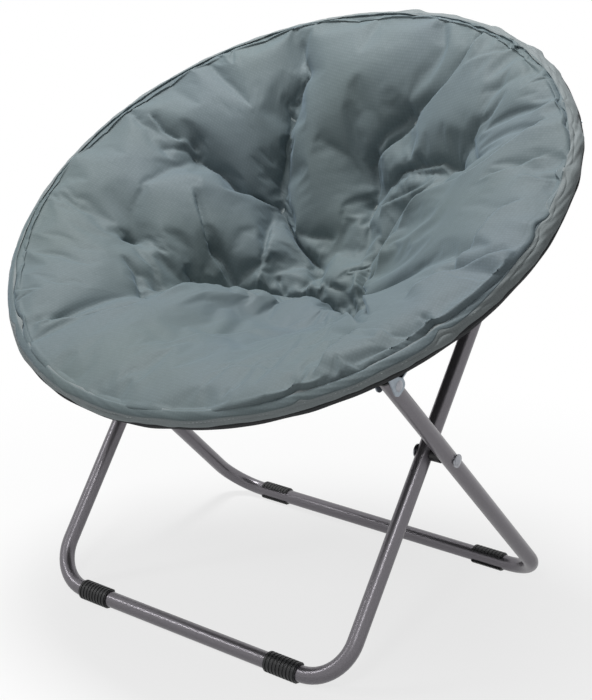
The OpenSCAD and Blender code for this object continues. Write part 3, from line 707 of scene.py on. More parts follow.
# %% Grooves by pixel
GROOVES = [
    # pixels along the pinch, depth (mm), half width (mm)
    ([(302, 44), (302, 58), (305, 72), (299, 87), (296, 101), (292, 114)], 9, 6),
    ([(292, 117), (290, 133), (287, 150), (287, 168), (282, 186), (281, 204)], 16, 5),
    ([(283, 208), (287, 222), (292, 234), (301, 245), (318, 257), (324, 266)], 12, 5),
    ([(417, 117), (400, 130), (388, 143), (379, 157), (378, 172), (379, 188), (376, 202)], 12, 5),
    ([(208, 248), (218, 252), (228, 262), (236, 276), (240, 289)], 20, 10),
    ([(322, 263), (312, 268), (308, 276), (300, 290)], 14, 9),
    ([(126, 258), (136, 270), (143, 279), (147, 290), (150, 301)], 14, 5),
    ([(279, 274), (282, 285), (286, 297)], 10, 5),
    ([(316, 285), (314, 295), (309, 302)], 8, 5),
    ([(188, 272), (196, 280), (202, 286)], 12, 8),
    ([(345, 292), (350, 302), (353, 314)], 9, 5),
    ([(338, 296), (343, 306), (350, 316)], 7, 4),
    ([(322, 276), (330, 285), (345, 288), (352, 280)], 7, 6),
    ([(160, 148), (176, 153), (192, 157)], 6, 6),
    ([(196, 157), (200, 148), (206, 142)], 10, 7),
    ([(300, 228), (312, 232), (328, 232), (334, 236)], 9, 10),
    ([(320, 142), (335, 150), (350, 160), (362, 175), (372, 195)], 7, 12),
    ([(506, 94), (494, 104), (484, 114), (474, 126), (468, 150), (466, 168)], 9, 8),
    ([(535, 76), (515, 83), (495, 90), (478, 94)], 5, 10),
]
print(f"{len(GROOVES)} grooves, of which the deepest is {max(row[1] for row in GROOVES)} mm")

# %% Where a pixel meets the skin
STEPS_DOWN = 3


def meet_skin(pixels):
    """The cloth's flat places that show at the pixels.

    The rays meet the bowl raised by the thickness t. The flat place is that place less t times the bowl's
    normal there, found in a few rounds.
    """
    x, s, n = ray_places(pixels)
    x, s = first_met(x, s, n - bowl(x, s) - sample(thickness, x, s) / bowl_normal(x, s)[2])
    u, v = x, s
    for _ in range(STEPS_DOWN):
        t = sample(thickness, u, v)
        nx, ns = bowl_normal(u, v)[:2]
        u, v = x - t * nx, s - t * ns
    return np.stack([u, v], 1)


def nearest(flat, line):
    """Each flat place's distance from a polyline, its share of the line's length, and its side."""
    points, share = dense(line, 2 * MM)
    away = np.hypot(flat[..., None, 0] - points[:, 0], flat[..., None, 1] - points[:, 1])
    k = away.argmin(-1)
    way = np.gradient(points, axis=0)[k]
    off = flat - points[k]
    return away.min(-1), share[k], np.sign(way[..., 0] * off[..., 1] - way[..., 1] * off[..., 0])


# %% Height of the folds
CREST = 1.5 * MM
FADED_SHARE = 0.22


def ends_fade(share):
    """1 along a fold, falling to 0 at each end as a quarter of a sine does."""
    return np.sin(np.clip(np.minimum(share, 1 - share) / FADED_SHARE, 0, 1) * math.pi / 2)


def fold_height(flat):
    """Sum of the folds and grooves over the flat places.

    A fold is step * rise * e^(-d / reach) - (1 - step) * drop * e^(-d / half the reach), where step is
    (1 + tanh(signed distance / CREST)) / 2. A groove is -depth * e^(-d / half width).
    """
    height = np.zeros(flat.shape[:-1])
    for pixels, high, rise, drop, reach in FOLDS:
        line = meet_skin(pixels)
        d, share, side = nearest(flat, line)
        _, _, high_side = nearest(meet_skin([high]), line)
        step = (1 + np.tanh(d * side * high_side / CREST)) / 2
        up = rise * MM * np.exp(-d / (reach * MM))
        down = drop * MM * np.exp(-d / (reach * MM / 2))
        height += ends_fade(share) * (step * up - (1 - step) * down)
    for pixels, depth, half in GROOVES:
        d, share, _ = nearest(flat, meet_skin(pixels))
        height -= ends_fade(share) * depth * MM * np.exp(-d / (half * MM))
    return height


# %% Draw the seam in
DIP_REACH = 16 * MM
DIP_ROLL = 12 * MM
DIP_ROLL_SHARE = 0.55
DIP_DROP_SHARE = 0.3


def draw_in(flat):
    """The move at each dip, q from the seam.

    The cloth goes inwards by e^(-q / DIP_REACH), and up in a roll by q / DIP_ROLL * e^(1 - q / DIP_ROLL).
    """
    turn = np.arctan2(flat[..., 1], flat[..., 0])
    q = np.maximum(COVER_RADIUS - np.hypot(flat[..., 0], flat[..., 1]), 0)
    drawn = dips(turn)
    inwards = drawn * np.exp(-q / DIP_REACH)
    roll = DIP_ROLL_SHARE * drawn * q / DIP_ROLL * np.exp(1 - q / DIP_ROLL)
    return np.stack([-inwards * np.cos(turn), -inwards * np.sin(turn), roll - DIP_DROP_SHARE * inwards], -1)


# %% Lay the folds on
LEAST_T = 7 * MM
RIM_FADE = 14 * MM

lift = fold_height(flat)
lift *= np.clip((COVER_RADIUS - np.hypot(flat[..., 0], flat[..., 1])) / RIM_FADE, 0, 1)
lift = np.maximum(lift, np.minimum(0, LEAST_T - sample(thickness, flat[..., 0], flat[..., 1])))
top = top + np.stack([lift * way for way in bowl_normal(flat[..., 0], flat[..., 1])], -1)
top = top + draw_in(flat)
skin = to_room(*np.moveaxis(top, -1, 0)).reshape(-1, 3)
print(f"the folds lift the cloth by {lift.min() / MM:.0f} to {lift.max() / MM:.0f} mm")


# %% [markdown]
# ## The rim: a grey band over the ring, and black cloth under it
# The cover is drawn over the ring as a sleeve. Its outer half is a grey band with a hem, loose in some
# places and drawn tight at the hinges, and its lower half is black cloth with gaps for the brackets.
# The photograph shows where the band stands off or pinches: each such place is given by its pixel.

# %% Kinks by pixel
KINK_PIXELS = [
    # pixel on the rim, how far the band stands out (mm), half width (mm)
    ((186, 87), -1.6, 9),
    ((160, 108), 2.5, 28),
    ((215, 72), 1.8, 22),
    ((300, 30), -1.2, 12),
    ((345, 22), 1.6, 30),
    ((416, 16), 4.5, 16),
    ((452, 27), 2.6, 18),
    ((500, 36), 2.2, 16),
    ((524, 49), -1.8, 8),
    ((540, 53), 3.6, 13),
    ((560, 72), 2.6, 14),
    ((578, 126), -2.0, 8),
    ((577, 145), 3.2, 16),
    ((574, 180), 1.6, 18),
    ((545, 262), 1.4, 22),
    ((446, 343), 2.6, 12),
    ((112, 408), 2.0, 26),
    ((25, 352), 2.2, 20),
]
LOOSE = 0.8 * MM
LEAST_OFF = 0.15 * MM

kink_turns = ring_turns([pixel for pixel, _, _ in KINK_PIXELS])
print(f"{len(KINK_PIXELS)} kinks, at turns from {kink_turns.min():.2f} to {kink_turns.max():.2f} rad")


# %% How far the rim's cloth stands off
def stand_off(turn):
    """How far the cloth stands off the tube: a looseness, plus 1 / (1 + (d / half width)^4) at each kink."""
    off = LOOSE * (1 + 0.5 * waves(turn, 5, 9, 5, 30))
    for at, (_, height, half) in zip(kink_turns, KINK_PIXELS):
        d = np.abs((turn - at + math.pi) % (2 * math.pi) - math.pi) * RING_RADIUS
        off = off + height * MM / (1 + (d / (half * MM)) ** 4)
    return np.maximum(off, LEAST_OFF)


off_mm = stand_off(round_once) / MM
print(f"the rim's cloth stands off by {off_mm.min():.1f} to {off_mm.max():.1f} mm")

# %% [markdown]
# At the back the cushion's edge is sewn on top of the ring. At the front the cover laps over the ring and
# is sewn lower down, so less of the grey band shows there.

# %% Where the rim's seams run
BAND_FROM, BAND_TO = math.radians(0), math.radians(86)
HEM_SHARE = 0.67
FLAP_DROP = math.radians(48)
FLAP_MIDDLE = math.radians(-85)
FLAP_EDGE, FLAP_FADE = 0.1, 0.8


def seam_theta(turn):
    """Where round the tube the cover's edge is sewn: BAND_TO at the back, less a smooth step of FLAP_DROP.

    The step goes with the cosine c of the turn from the flap's middle, as (c + FLAP_EDGE) / FLAP_FADE.
    """
    front = np.clip((np.cos(turn - FLAP_MIDDLE) + FLAP_EDGE) / FLAP_FADE, 0, 1)
    return BAND_TO + dips(turn) / SLEEVE_R - FLAP_DROP * front * front * (3 - 2 * front)


def hem_theta(turn):
    """Where the band's hem begins: a fixed share of the way up to the seam."""
    return HEM_SHARE * seam_theta(turn)


for edge, at in (("front", FLAP_MIDDLE), ("back", FLAP_MIDDLE + math.pi)):
    print(f"at the {edge} the seam is {math.degrees(seam_theta(at)):.0f} degrees up the tube")

# %% The band's surface
HEM_T = 1.1 * MM
HEM_STEP = math.radians(4)
COLLAR_SHARE = 0.3
BAND_GAP = 0.5 * MM
BAND_RIPPLE = 0.35 * MM
LOOSE_FROM = 0.12


def hem(turn, theta):
    """The hem's step: the folded edge lies one cloth higher from there on, with a smooth shoulder."""
    share = np.clip((theta - hem_theta(turn)) / HEM_STEP, 0, 1)
    return HEM_T * share * share * (3 - 2 * share)


def band_point(turn, theta, lift=0.0):
    """A place on the grey band: it stands off most at the outer side, and hugs the tube at its seams."""
    reach = np.clip((theta - BAND_FROM) / (hem_theta(turn) - BAND_FROM), 0, 1)
    loose = stand_off(turn) * np.sin(math.pi * (LOOSE_FROM + (1 - LOOSE_FROM) * reach)) ** 0.7
    fine = BAND_RIPPLE * waves(turn + 0.15 * theta, 11, 9, 30, 110)
    collar = COLLAR_SHARE * dips(turn) * np.clip((theta - BAND_FROM) / (BAND_TO - BAND_FROM), 0, 1) ** 2
    return round_ring(turn, theta, SLEEVE_R + BAND_GAP + loose + fine + collar + hem(turn, theta) + lift)


# %% [markdown]
# The skin is closed into a pad: its edge goes down round the inner side of the ring, and a plainer
# underside follows the sling. The tufts pull the underside up a little, as stitches through a cushion do.

# %% Dimples at the tufts
DIMPLE = 5 * MM
DIMPLE_R = 22 * MM


def dimples(x, s):
    """Height that the tufts pull the underside up: e^-(d / DIMPLE_R)^2 at each, together at most DIMPLE."""
    pull = sum(np.exp(-((x - p[0]) ** 2 + (s - p[1]) ** 2) / DIMPLE_R**2) for p in tufts.values())
    return DIMPLE * np.minimum(pull, 1)


print(f"a tuft pulls the underside up by {dimples(*tufts['middle']) / MM:.1f} mm")

# %% Close the cushion
UNDER_RINGS = 26
UNDER_GAP = 0.3 * MM
WRAP_GAP = 0.2 * MM
WRAP_TURNS = np.radians([86, 104, 122, 140, 158, 172])[:, None]
FLAP_LOOPS = 7
FLAP_LIFT = 1.0 * MM


def rim_loop(size):
    """Indices of a square grid's outer points, once round, with the same turn as the disc."""
    k = np.arange(size - 1)
    last = size - 1
    return np.concatenate([k * size, last * size + k, (last - k) * size + last, last - k])


def under_loops(turn):
    """Points and flat places of the loops under the skin: the flap over the ring, back, and to the middle."""
    down = np.linspace(0, 1, FLAP_LOOPS)[:, None]
    flap = WRAP_TURNS[0] + (seam_theta(turn) - WRAP_TURNS[0]) * down
    over = band_point(turn, flap, FLAP_LIFT)
    back = round_ring(turn, flap[::-1], SLEEVE_R + WRAP_GAP)
    wrap = np.concatenate([over, back, round_ring(turn, WRAP_TURNS[1:], SLEEVE_R + WRAP_GAP)])
    share = np.linspace(1, 0, UNDER_RINGS + 1)[:-1, None]
    x = PAD_RADIUS * share * np.cos(turn)
    s = PAD_RADIUS * share * np.sin(turn)
    under = to_room(x, s, bowl(x, s) + UNDER_GAP + dimples(x, s))
    wrap_uv = np.broadcast_to(np.stack([x[0], s[0]], -1), (*wrap.shape[:2], 2)).copy()
    outwards = np.stack([np.cos(turn[0]), np.sin(turn[0])], -1)
    wrap_uv[:FLAP_LOOPS] += ((WRAP_TURNS[0] - flap) * SLEEVE_R)[..., None] * outwards
    return np.concatenate([wrap, under]), np.concatenate([wrap_uv, np.stack([x, s], -1)])


def close_pad(skin, flat, size):
    """Joins the skin's rim to the loops, each loop to the next, and the last to a point in the middle."""
    loop = rim_loop(size)
    edge = flat.reshape(-1, 2)[loop]
    loops, loops_uv = under_loops(np.arctan2(edge[:, 1], edge[:, 0])[None, :])
    count = loops.shape[1]
    first = len(skin)
    k = np.arange(count)
    n = (k + 1) % count
    side = np.stack([loop[k], first + k, first + n, loop[n]], -1)
    rings = grid_faces(len(loops), count, wrap=True, first=first)
    middle = to_room(0.0, 0.0, bowl(0.0, 0.0) + UNDER_GAP)[None]
    points = np.concatenate([skin, loops.reshape(-1, 3), middle])
    uv = np.concatenate([flat.reshape(-1, 2), loops_uv.reshape(-1, 2), [[0, 0]]])
    last = first + (len(loops) - 1) * count
    cap = np.stack([last + k, np.full(count, len(points) - 1), last + n], -1)
    return points, [*grid_faces(size, size).tolist(), *side.tolist(), *rings.tolist(), *cap.tolist()], uv


# %% One closed cushion
def out_faces(obj):
    """Turns every face outwards, once doubles are merged."""
    mesh = bmesh.new()
    mesh.from_mesh(obj.data)
    bmesh.ops.remove_doubles(mesh, verts=mesh.verts, dist=1e-6)
    bmesh.ops.recalc_face_normals(mesh, faces=mesh.faces)
    mesh.to_mesh(obj.data)
    mesh.free()


whole_pad = add_mesh("whole_pad", *close_pad(skin, flat, TOP_STEPS))
out_faces(whole_pad)
print(f"the cushion has {len(whole_pad.data.polygons)} faces")

# %% [markdown]
# ## Cutting the cloth where the ring folds
# The ring folds at its two hinges, and a cushion can't follow that without tearing or passing through
# itself. So the cushion and the sling are cut along the line between the hinges. Each part keeps the
# whole cushion's shading normals, so the cut doesn't show while the chair stands open.

# %% Mark the cut
CUT_GAP = 0.01 * MM
HINGE_LINE = RING_MIDDLE + HINGE_BACK * UP_SLOPE


def mark_cut(whole):
    """Adds the cut's edges to the whole piece, and keeps its smooth normals as an attribute of its points."""
    mesh = bmesh.new()
    mesh.from_mesh(whole.data)
    geometry = [*mesh.verts, *mesh.edges, *mesh.faces]
    bmesh.ops.bisect_plane(mesh, geom=geometry, dist=1e-6, plane_co=HINGE_LINE, plane_no=UP_SLOPE)
    mesh.to_mesh(whole.data)
    mesh.free()
    normals = np.empty(len(whole.data.vertices) * 3, np.float32)
    whole.data.vertex_normals.foreach_get("vector", normals)
    kept = whole.data.attributes.new("whole_normal", "FLOAT_VECTOR", "POINT")
    kept.data.foreach_set("vector", normals)


# %% Cut at the hinges
def keep_normals(data, way):
    """Gives a cut part the whole piece's normals, but a face that closes the cut looks straight out of it."""
    corner = np.empty(len(data.loops), int)
    data.loops.foreach_get("vertex_index", corner)
    kept = np.empty(len(data.vertices) * 3, np.float32)
    data.attributes["whole_normal"].data.foreach_get("vector", kept)
    normals = kept.reshape(-1, 3)[corner]
    sizes = np.empty(len(data.polygons), int)
    data.polygons.foreach_get("loop_total", sizes)
    middles = np.empty(len(data.polygons) * 3, np.float32)
    data.polygons.foreach_get("center", middles)
    on_cut = np.abs((middles.reshape(-1, 3) - HINGE_LINE) @ UP_SLOPE) < CUT_GAP
    normals[np.repeat(on_cut, sizes)] = way * UP_SLOPE
    data.normals_split_custom_set(normals.tolist())
    data.attributes.remove(data.attributes["whole_normal"])


def cut_at_hinges(whole, name, keep_front, capped):
    """Copies the part of a piece in front of or behind the hinge line, and closes the cut if capped."""
    mesh = bmesh.new()
    mesh.from_mesh(whole.data)
    way = 1 if keep_front else -1
    geometry = [*mesh.verts, *mesh.edges, *mesh.faces]
    cut = bmesh.ops.bisect_plane(
        mesh, geom=geometry, dist=1e-6, plane_co=HINGE_LINE, plane_no=way * UP_SLOPE, clear_outer=True
    )["geom_cut"]
    if capped:
        edges = [g for g in cut if isinstance(g, bmesh.types.BMEdge)]
        bmesh.ops.triangle_fill(mesh, edges=edges, use_beauty=True)
    data = bpy.data.meshes.new(name)
    mesh.to_mesh(data)
    mesh.free()
    keep_normals(data, way)
    part = bpy.data.objects.new(name, data)
    bpy.context.scene.collection.objects.link(part)
    print(f"{name} has {len(data.polygons)} faces")
    return part


mark_cut(whole_pad)
cushion_front = cut_at_hinges(whole_pad, "cushion_front", True, True)
cushion_rear = cut_at_hinges(whole_pad, "cushion_rear", False, True)
drop(whole_pad)

# %% [markdown]
# ## The black sling
# Under the cushion hangs a plain black cloth that is sewn to the same rim. The tufts' stitches dimple it,
# and slack folds run down from the rim.

# %% Slack
SLING_STEPS = 161
SLING_GAP = 0.2 * MM
SLACK = 1.6 * MM


def slack(x, s):
    """Soft folds from the rim to the middle: a wave round the bowl that dies out at both."""
    r = np.hypot(x, s) / PAD_RADIUS
    turn = np.arctan2(s, x)
    wave = np.sin(11 * turn + 2 * np.sin(3 * turn)) + 0.6 * np.sin(23 * turn + 1.3)
    return SLACK * wave * np.clip(4 * r * (1 - r), 0, 1) ** 1.5


def sling_height(x, s):
    """The sling's upper side: the bowl less a small gap, up at the tufts, and down in the slack folds."""
    return bowl(x, s) - SLING_GAP + dimples(x, s) - np.abs(slack(x, s))


# %% Sling
def add_wall(part, thickness, offset):
    """Gives an open sheet a wall: behind its faces for an offset of -1, in front of them for 1."""
    wall = part.modifiers.new("wall", "SOLIDIFY")
    wall.thickness = thickness
    wall.offset = offset


x, s = [PAD_RADIUS * way for way in square_disc(SLING_STEPS)]
places = to_room(x, s, sling_height(x, s)).reshape(-1, 3)
faces = grid_faces(SLING_STEPS, SLING_STEPS)
whole_sling = add_mesh("whole_sling", places, faces, np.stack([x, s], -1).reshape(-1, 2))
mark_cut(whole_sling)
sling_front = cut_at_hinges(whole_sling, "sling_front", True, False)
sling_rear = cut_at_hinges(whole_sling, "sling_rear", False, False)
drop(whole_sling)
for part in (sling_front, sling_rear):
    add_wall(part, SLING_T, -1)

# %% [markdown]
# The grey band is one grid round the ring, given a wall afterwards. A curve with a bevel could wrap the
# tube too, but a grid takes the hem, the kinks and the collar as one formula.

# %% Rim band
BAND_COLS = 1200
BAND_ROWS = 25
BAND_T = 0.9 * MM
SWAY = math.radians(5)

turn = np.linspace(0, 2 * math.pi, BAND_COLS, endpoint=False)[None, :]
share = np.linspace(0, 1, BAND_ROWS)[:, None]
band_top = BAND_TO + SWAY * waves(turn, 21, 9, 6, 45) + dips(turn) / SLEEVE_R
theta = BAND_FROM + (band_top - BAND_FROM) * share
uv = np.stack(np.broadcast_arrays(turn * RING_RADIUS, theta * SLEEVE_R), -1)
faces = grid_faces(BAND_ROWS, BAND_COLS, wrap=True)
rim_band = add_mesh("rim_band", band_point(turn, theta).reshape(-1, 3), faces, uv.reshape(-1, 2))
add_wall(rim_band, BAND_T, -1)
print(f"the band has {len(faces)} faces")

# %% [markdown]
# The black cloth under the ring has a hole wherever a bracket or a hinge comes out, from the CAD pieces'
# own places, and its outer edge wraps over the band's as a thin bead.

# %% Where the brackets come out
THROUGH_RIM = ("bracket_left", "bracket_right", "clevis_left", "clevis_right", "tongue_left", "tongue_right")
NEAR_RIM = SLEEVE_R + 2 * MM
HOLE_SLACK = 1.5 * MM


def hole_spans():
    """Turns round the ring that each bracket and hinge covers, from the points of its CAD piece."""
    spans = []
    for name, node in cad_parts.items():
        if not name.endswith(THROUGH_RIM):
            continue
        co = np.empty(len(node.data.vertices) * 3, np.float32)
        node.data.vertices.foreach_get("co", co)
        x, s, n = from_room(co.reshape(-1, 3))
        near = (np.abs(np.hypot(x, s) - RING_RADIUS) < NEAR_RIM) & (n > -NEAR_RIM)
        turns = np.arctan2(s[near], x[near])
        spans.append((turns.min() - HOLE_SLACK / RING_RADIUS, turns.max() + HOLE_SLACK / RING_RADIUS))
    return spans


spans = hole_spans()
print(f"{len(spans)} holes, the widest {max(b - a for a, b in spans) * RING_RADIUS / MM:.0f} mm long")

# %% Black cloth under the ring
UNDER_FROM, UNDER_TO = math.radians(9), math.radians(-184)
BEAD_TO = math.radians(-6)
BEAD_T = 1.5 * MM
HOLE_FROM, HOLE_TO = math.radians(-45), math.radians(-135)
UNDER_T = 0.8 * MM
UNDER_OFF = 0.3 * MM
UNDER_RIPPLE = 0.4 * MM


def black_sleeve(spans):
    """The cloth under the ring on a grid of turns and section angles, without the cells over each hole."""
    even = np.linspace(-math.pi, math.pi, BAND_COLS // 2, endpoint=False)
    edges = np.ravel(spans)
    clear = np.abs(even[:, None] - edges).min(1) > 0.3 * (even[1] - even[0])
    turns = np.sort(np.concatenate([even[clear], edges]))
    outer = np.linspace(UNDER_FROM, HOLE_FROM, 14)
    under = np.linspace(HOLE_FROM, HOLE_TO, 7)[1:]
    inner = np.linspace(HOLE_TO, UNDER_TO, 4)[1:]
    thetas = np.concatenate([outer, under, inner])
    turn, theta = np.meshgrid(turns, thetas)
    share = np.clip((theta - BEAD_TO) / (UNDER_FROM - BEAD_TO), 0, 1)
    bead = (BEAD_T + stand_off(turn) * 0.5) * np.sin(math.pi * np.clip(share * 1.1, 0, 1)) ** 0.8
    radius = SLEEVE_R + UNDER_OFF + UNDER_RIPPLE * waves(turn, 8, 7, 9, 50) + bead
    points = round_ring(turn, theta, radius).reshape(-1, 3)
    faces = grid_faces(len(thetas), len(turns), wrap=True)
    middle = turns + np.diff(turns, append=turns[0] + 2 * math.pi) / 2
    in_span = sum((middle > a) & (middle < b) for a, b in spans) > 0
    low = (thetas[:-1] + thetas[1:]) / 2
    in_hole = (low < HOLE_FROM) & (low > HOLE_TO)
    keep = ~np.logical_and.outer(in_hole, in_span)
    uv = np.stack([turn * RING_RADIUS, theta * SLEEVE_R], -1).reshape(-1, 2)
    return points, faces[keep.ravel()], uv


rim_under = add_mesh("rim_under", *black_sleeve(spans))
add_wall(rim_under, UNDER_T, 1)
print(f"the black cloth round the ring has {len(rim_under.data.polygons)} faces")

# %% [markdown]
# ## Stitches
# A row of stitches holds the hem, and a small block of stitches makes each tuft. One stitch is a low
# sided bar that bulges in the middle. Hundreds of them are joined into one piece.

# %% Bars of thread
def bars(middles, along, across, up, length, radius, sides=6, rings=4):
    """Stitches at the middles: rings of points along each bar, of radius (1 - t^2)^(1/4) by share t."""
    t = np.linspace(-1, 1, rings + 2)
    round_share = np.maximum(np.sqrt(1 - t**2), 0.15) ** 0.5
    turn = np.linspace(0, 2 * math.pi, sides, endpoint=False)
    a = (t * length / 2)[:, None]
    c = radius * round_share[:, None] * np.cos(turn)
    h = radius * round_share[:, None] * np.sin(turn)
    places = (
        middles[:, None, None, :]
        + along[:, None, None, :] * a[None, :, :, None]
        + across[:, None, None, :] * c[None, :, :, None]
        + up[:, None, None, :] * h[None, :, :, None]
    )
    quads = grid_faces(rings + 2, sides, wrap=True)
    size = (rings + 2) * sides
    faces = (quads[None] + np.arange(len(middles))[:, None, None] * size).reshape(-1, 4)
    return places.reshape(-1, 3), faces


def unit(v):
    return v / np.linalg.norm(v, axis=-1, keepdims=True)


# %% Hem stitches
STITCH_PITCH = 5 * MM
STITCH_LONG = 3.6 * MM
STITCH_R = 0.6 * MM
STITCH_LIFT = 0.3 * MM
PAST_HEM = 0.12


def hem_stitches():
    """A stitch every STITCH_PITCH along the hem's outer edge, laid on the band."""
    count = int(2 * math.pi * RING_RADIUS / STITCH_PITCH)
    turn = np.linspace(0, 2 * math.pi, count, endpoint=False)
    theta = hem_theta(turn) + PAST_HEM * seam_theta(turn)
    spots = band_point(turn, theta, STITCH_LIFT)
    along = unit(band_point(turn + 1e-3, theta) - band_point(turn - 1e-3, theta))
    across = unit(band_point(turn, theta + 1e-2) - band_point(turn, theta - 1e-2))
    return bars(spots, along, across, unit(np.cross(along, across)), STITCH_LONG, STITCH_R)


hem_thread = add_mesh("hem_stitches", *hem_stitches())
print(f"the hem's stitches have {len(hem_thread.data.polygons)} faces")

# %% [markdown]
# Each tuft's stitches lie on the skin where it was held, and the same bars show on the sling below.

# %% Tufts
TUFT_BARS = 9
TUFT_BAR_LONG = 4.5 * MM
TUFT_BAR_STEP = 1.25 * MM
TUFT_BAR_R = 0.75 * MM
TUFT_TILT = 0.5
TUFT_LIFT = 0.3 * MM
TUFT_END_LIFT = 0.4 * MM


def tuft_stitches(spots, below):
    """A block of short bars at each ring place, on the cushion's skin or under the sling."""
    middles, ways = [], []
    for number, (x, s) in enumerate(spots):
        tilt = TUFT_TILT * number
        for k in range(TUFT_BARS):
            shift = (k - (TUFT_BARS - 1) / 2) * TUFT_BAR_STEP
            middles.append((x + shift * math.cos(tilt), s + shift * math.sin(tilt)))
            ways.append((-math.sin(tilt), math.cos(tilt)))
    (x, s), (wx, ws) = np.array(middles).T, np.array(ways).T
    nx, ns, nn = bowl_normal(x, s)
    lift = -(SLING_T + TUFT_END_LIFT) if below else TUFT_T + TUFT_LIFT
    base = sling_height(x, s) if below else bowl(x, s)
    centres = to_room(x + lift * nx, s + lift * ns, base + lift * nn)
    up = unit(to_room(nx, ns, nn) - RING_MIDDLE)
    along = unit(np.cross(np.cross(up, unit(to_room(wx, ws, 0.0) - RING_MIDDLE)), up))
    return bars(centres, along, np.cross(up, along), up, TUFT_BAR_LONG, TUFT_BAR_R)


front_spots = [p for p in tufts.values() if p[1] < HINGE_BACK]
rear_spots = [p for p in tufts.values() if p[1] >= HINGE_BACK]
tuft_threads = [
    (add_mesh("tufts_front", *tuft_stitches(front_spots, False)), "ring_front", "cover_cloth"),
    (add_mesh("tufts_rear", *tuft_stitches(rear_spots, False)), "ring_rear", "cover_cloth"),
    (add_mesh("tuft_ends_front", *tuft_stitches(front_spots, True)), "ring_front", "black_cloth"),
    (add_mesh("tuft_ends_rear", *tuft_stitches(rear_spots, True)), "ring_rear", "black_cloth"),
]
print(f"{len(front_spots)} tufts before the hinge line, {len(rear_spots)} behind, {TUFT_BARS} stitches each")

# %% [markdown]
# ## Finishes
# Every finish is a small set of nodes, made by a short function for each way a surface is made: woven,
# twisted, coated, plated or moulded. Colours are written as the screen shows them and turned to light by
# one function. Patterns follow the cloth's own flat coordinates, or the object's coordinates.

# %% Colours
def light(hex_colour):
    """A screen colour such as '6f7f80' as linear light: each channel through the sRGB curve."""
    channels = [int(hex_colour[i : i + 2], 16) / 255 for i in (0, 2, 4)]
    return (*[c / 12.92 if c <= 0.04045 else ((c + 0.055) / 1.055) ** 2.4 for c in channels], 1)


print(f"the middle grey 808080 is {light('808080')[0]:.3f} as light")


# %% Node helpers
def add_node(tree, kind, inputs=None, **settings):
    """Adds one node with its settings; an input is a value, or the socket that is linked to it."""
    node = tree.nodes.new(kind)
    for key, value in settings.items():
        setattr(node, key, value)
    for key, value in (inputs or {}).items():
        if isinstance(value, bpy.types.NodeSocket):
            tree.links.new(value, node.inputs[key])
        else:
            node.inputs[key].default_value = value
    return node


def new_finish(name):
    """An empty material, with its node tree, shader and output joined."""
    made = bpy.data.materials.new(name)
    made.use_nodes = True
    tree = made.node_tree
    tree.nodes.clear()
    shader = add_node(tree, "ShaderNodeBsdfPrincipled")
    add_node(tree, "ShaderNodeOutputMaterial", {"Surface": shader.outputs["BSDF"]})
    return made, tree, shader


# The mix node's names repeat for each kind of value, so its colour sockets are told by their numbers.
LOW_COLOUR, HIGH_COLOUR, MIXED = 6, 7, 2

# %% [markdown]
# The cover is woven polyester, a plain weave of dull yarn. The crossing yarns give it a fine grain and a
# soft edge glow, and the dye lies a little cloudy. Its threads are about 0.6 mm wide, which a picture of
# the whole chair can't show, so the weave here is three times coarser and faint. A photographed cloth
# could be laid on instead, but a made weave has no seams and keeps its scale.

# %% Woven polyester
THREAD_PITCH = 1.8 * MM
THREAD_RELIEF = 0.3 * MM
CLOUD_SIZE = 250 * MM
SLUB_SIZE = 4 * MM


def woven(name, base, deep, pale, rough, sheen, sheen_tint, thread=THREAD_PITCH, relief=0.25):
    """A plain weave on the cloth's own metres: two waves across each other, multiplied, and cloudy dye."""
    made, tree, shader = new_finish(name)
    flat = add_node(tree, "ShaderNodeUVMap", uv_map="cloth").outputs["UV"]
    yarn = {"Vector": flat, "Scale": 1 / (2 * thread) / math.pi, "Distortion": 0.0}
    across = add_node(tree, "ShaderNodeTexWave", yarn, bands_direction="X").outputs["Fac"]
    along = add_node(tree, "ShaderNodeTexWave", yarn, bands_direction="Y").outputs["Fac"]
    weave = add_node(tree, "ShaderNodeMath", {0: across, 1: along}, operation="MULTIPLY").outputs[0]
    cloud = add_node(
        tree, "ShaderNodeTexNoise", {"Vector": flat, "Scale": 1 / CLOUD_SIZE, "Detail": 3.0}
    ).outputs["Fac"]
    slub = add_node(
        tree, "ShaderNodeTexNoise", {"Vector": flat, "Scale": 1 / SLUB_SIZE, "Detail": 2.0}
    ).outputs["Fac"]
    colour = add_node(
        tree, "ShaderNodeMix", data_type="RGBA",
        inputs={0: cloud, LOW_COLOUR: light(base), HIGH_COLOUR: light(pale)},
    ).outputs[MIXED]
    for fac, low, high in ((slub, 0.0, 0.35), (weave, 0.22, 0.0)):
        part = add_node(tree, "ShaderNodeMapRange", {"Value": fac, "To Min": low, "To Max": high})
        colour = add_node(
            tree, "ShaderNodeMix", data_type="RGBA",
            inputs={0: part.outputs["Result"], LOW_COLOUR: colour, HIGH_COLOUR: light(deep)},
        ).outputs[MIXED]
    tree.links.new(colour, shader.inputs["Base Color"])
    gloss = add_node(
        tree, "ShaderNodeMapRange", {"Value": slub, "To Min": rough - 0.06, "To Max": rough + 0.06}
    ).outputs["Result"]
    tree.links.new(gloss, shader.inputs["Roughness"])
    shader.inputs["Sheen Weight"].default_value = sheen
    shader.inputs["Sheen Roughness"].default_value = 0.45
    shader.inputs["Sheen Tint"].default_value = light(sheen_tint)
    shader.inputs["Specular IOR Level"].default_value = 0.35
    bump = add_node(tree, "ShaderNodeBump", {"Height": weave, "Strength": relief, "Distance": THREAD_RELIEF})
    tree.links.new(bump.outputs["Normal"], shader.inputs["Normal"])
    return made


# the cover: grey-green yarn that looks bluer where the light grazes it
woven_polyester = woven("woven_polyester", "64716c", "4a5655", "6a7783", 0.66, 0.3, "a0b6cc")
# the rim's band: plainer and greyer, folded double at its hem
polyester_webbing = woven("polyester_webbing", "7c8485", "687071", "878e90", 0.7, 0.25, "b9c2c8")
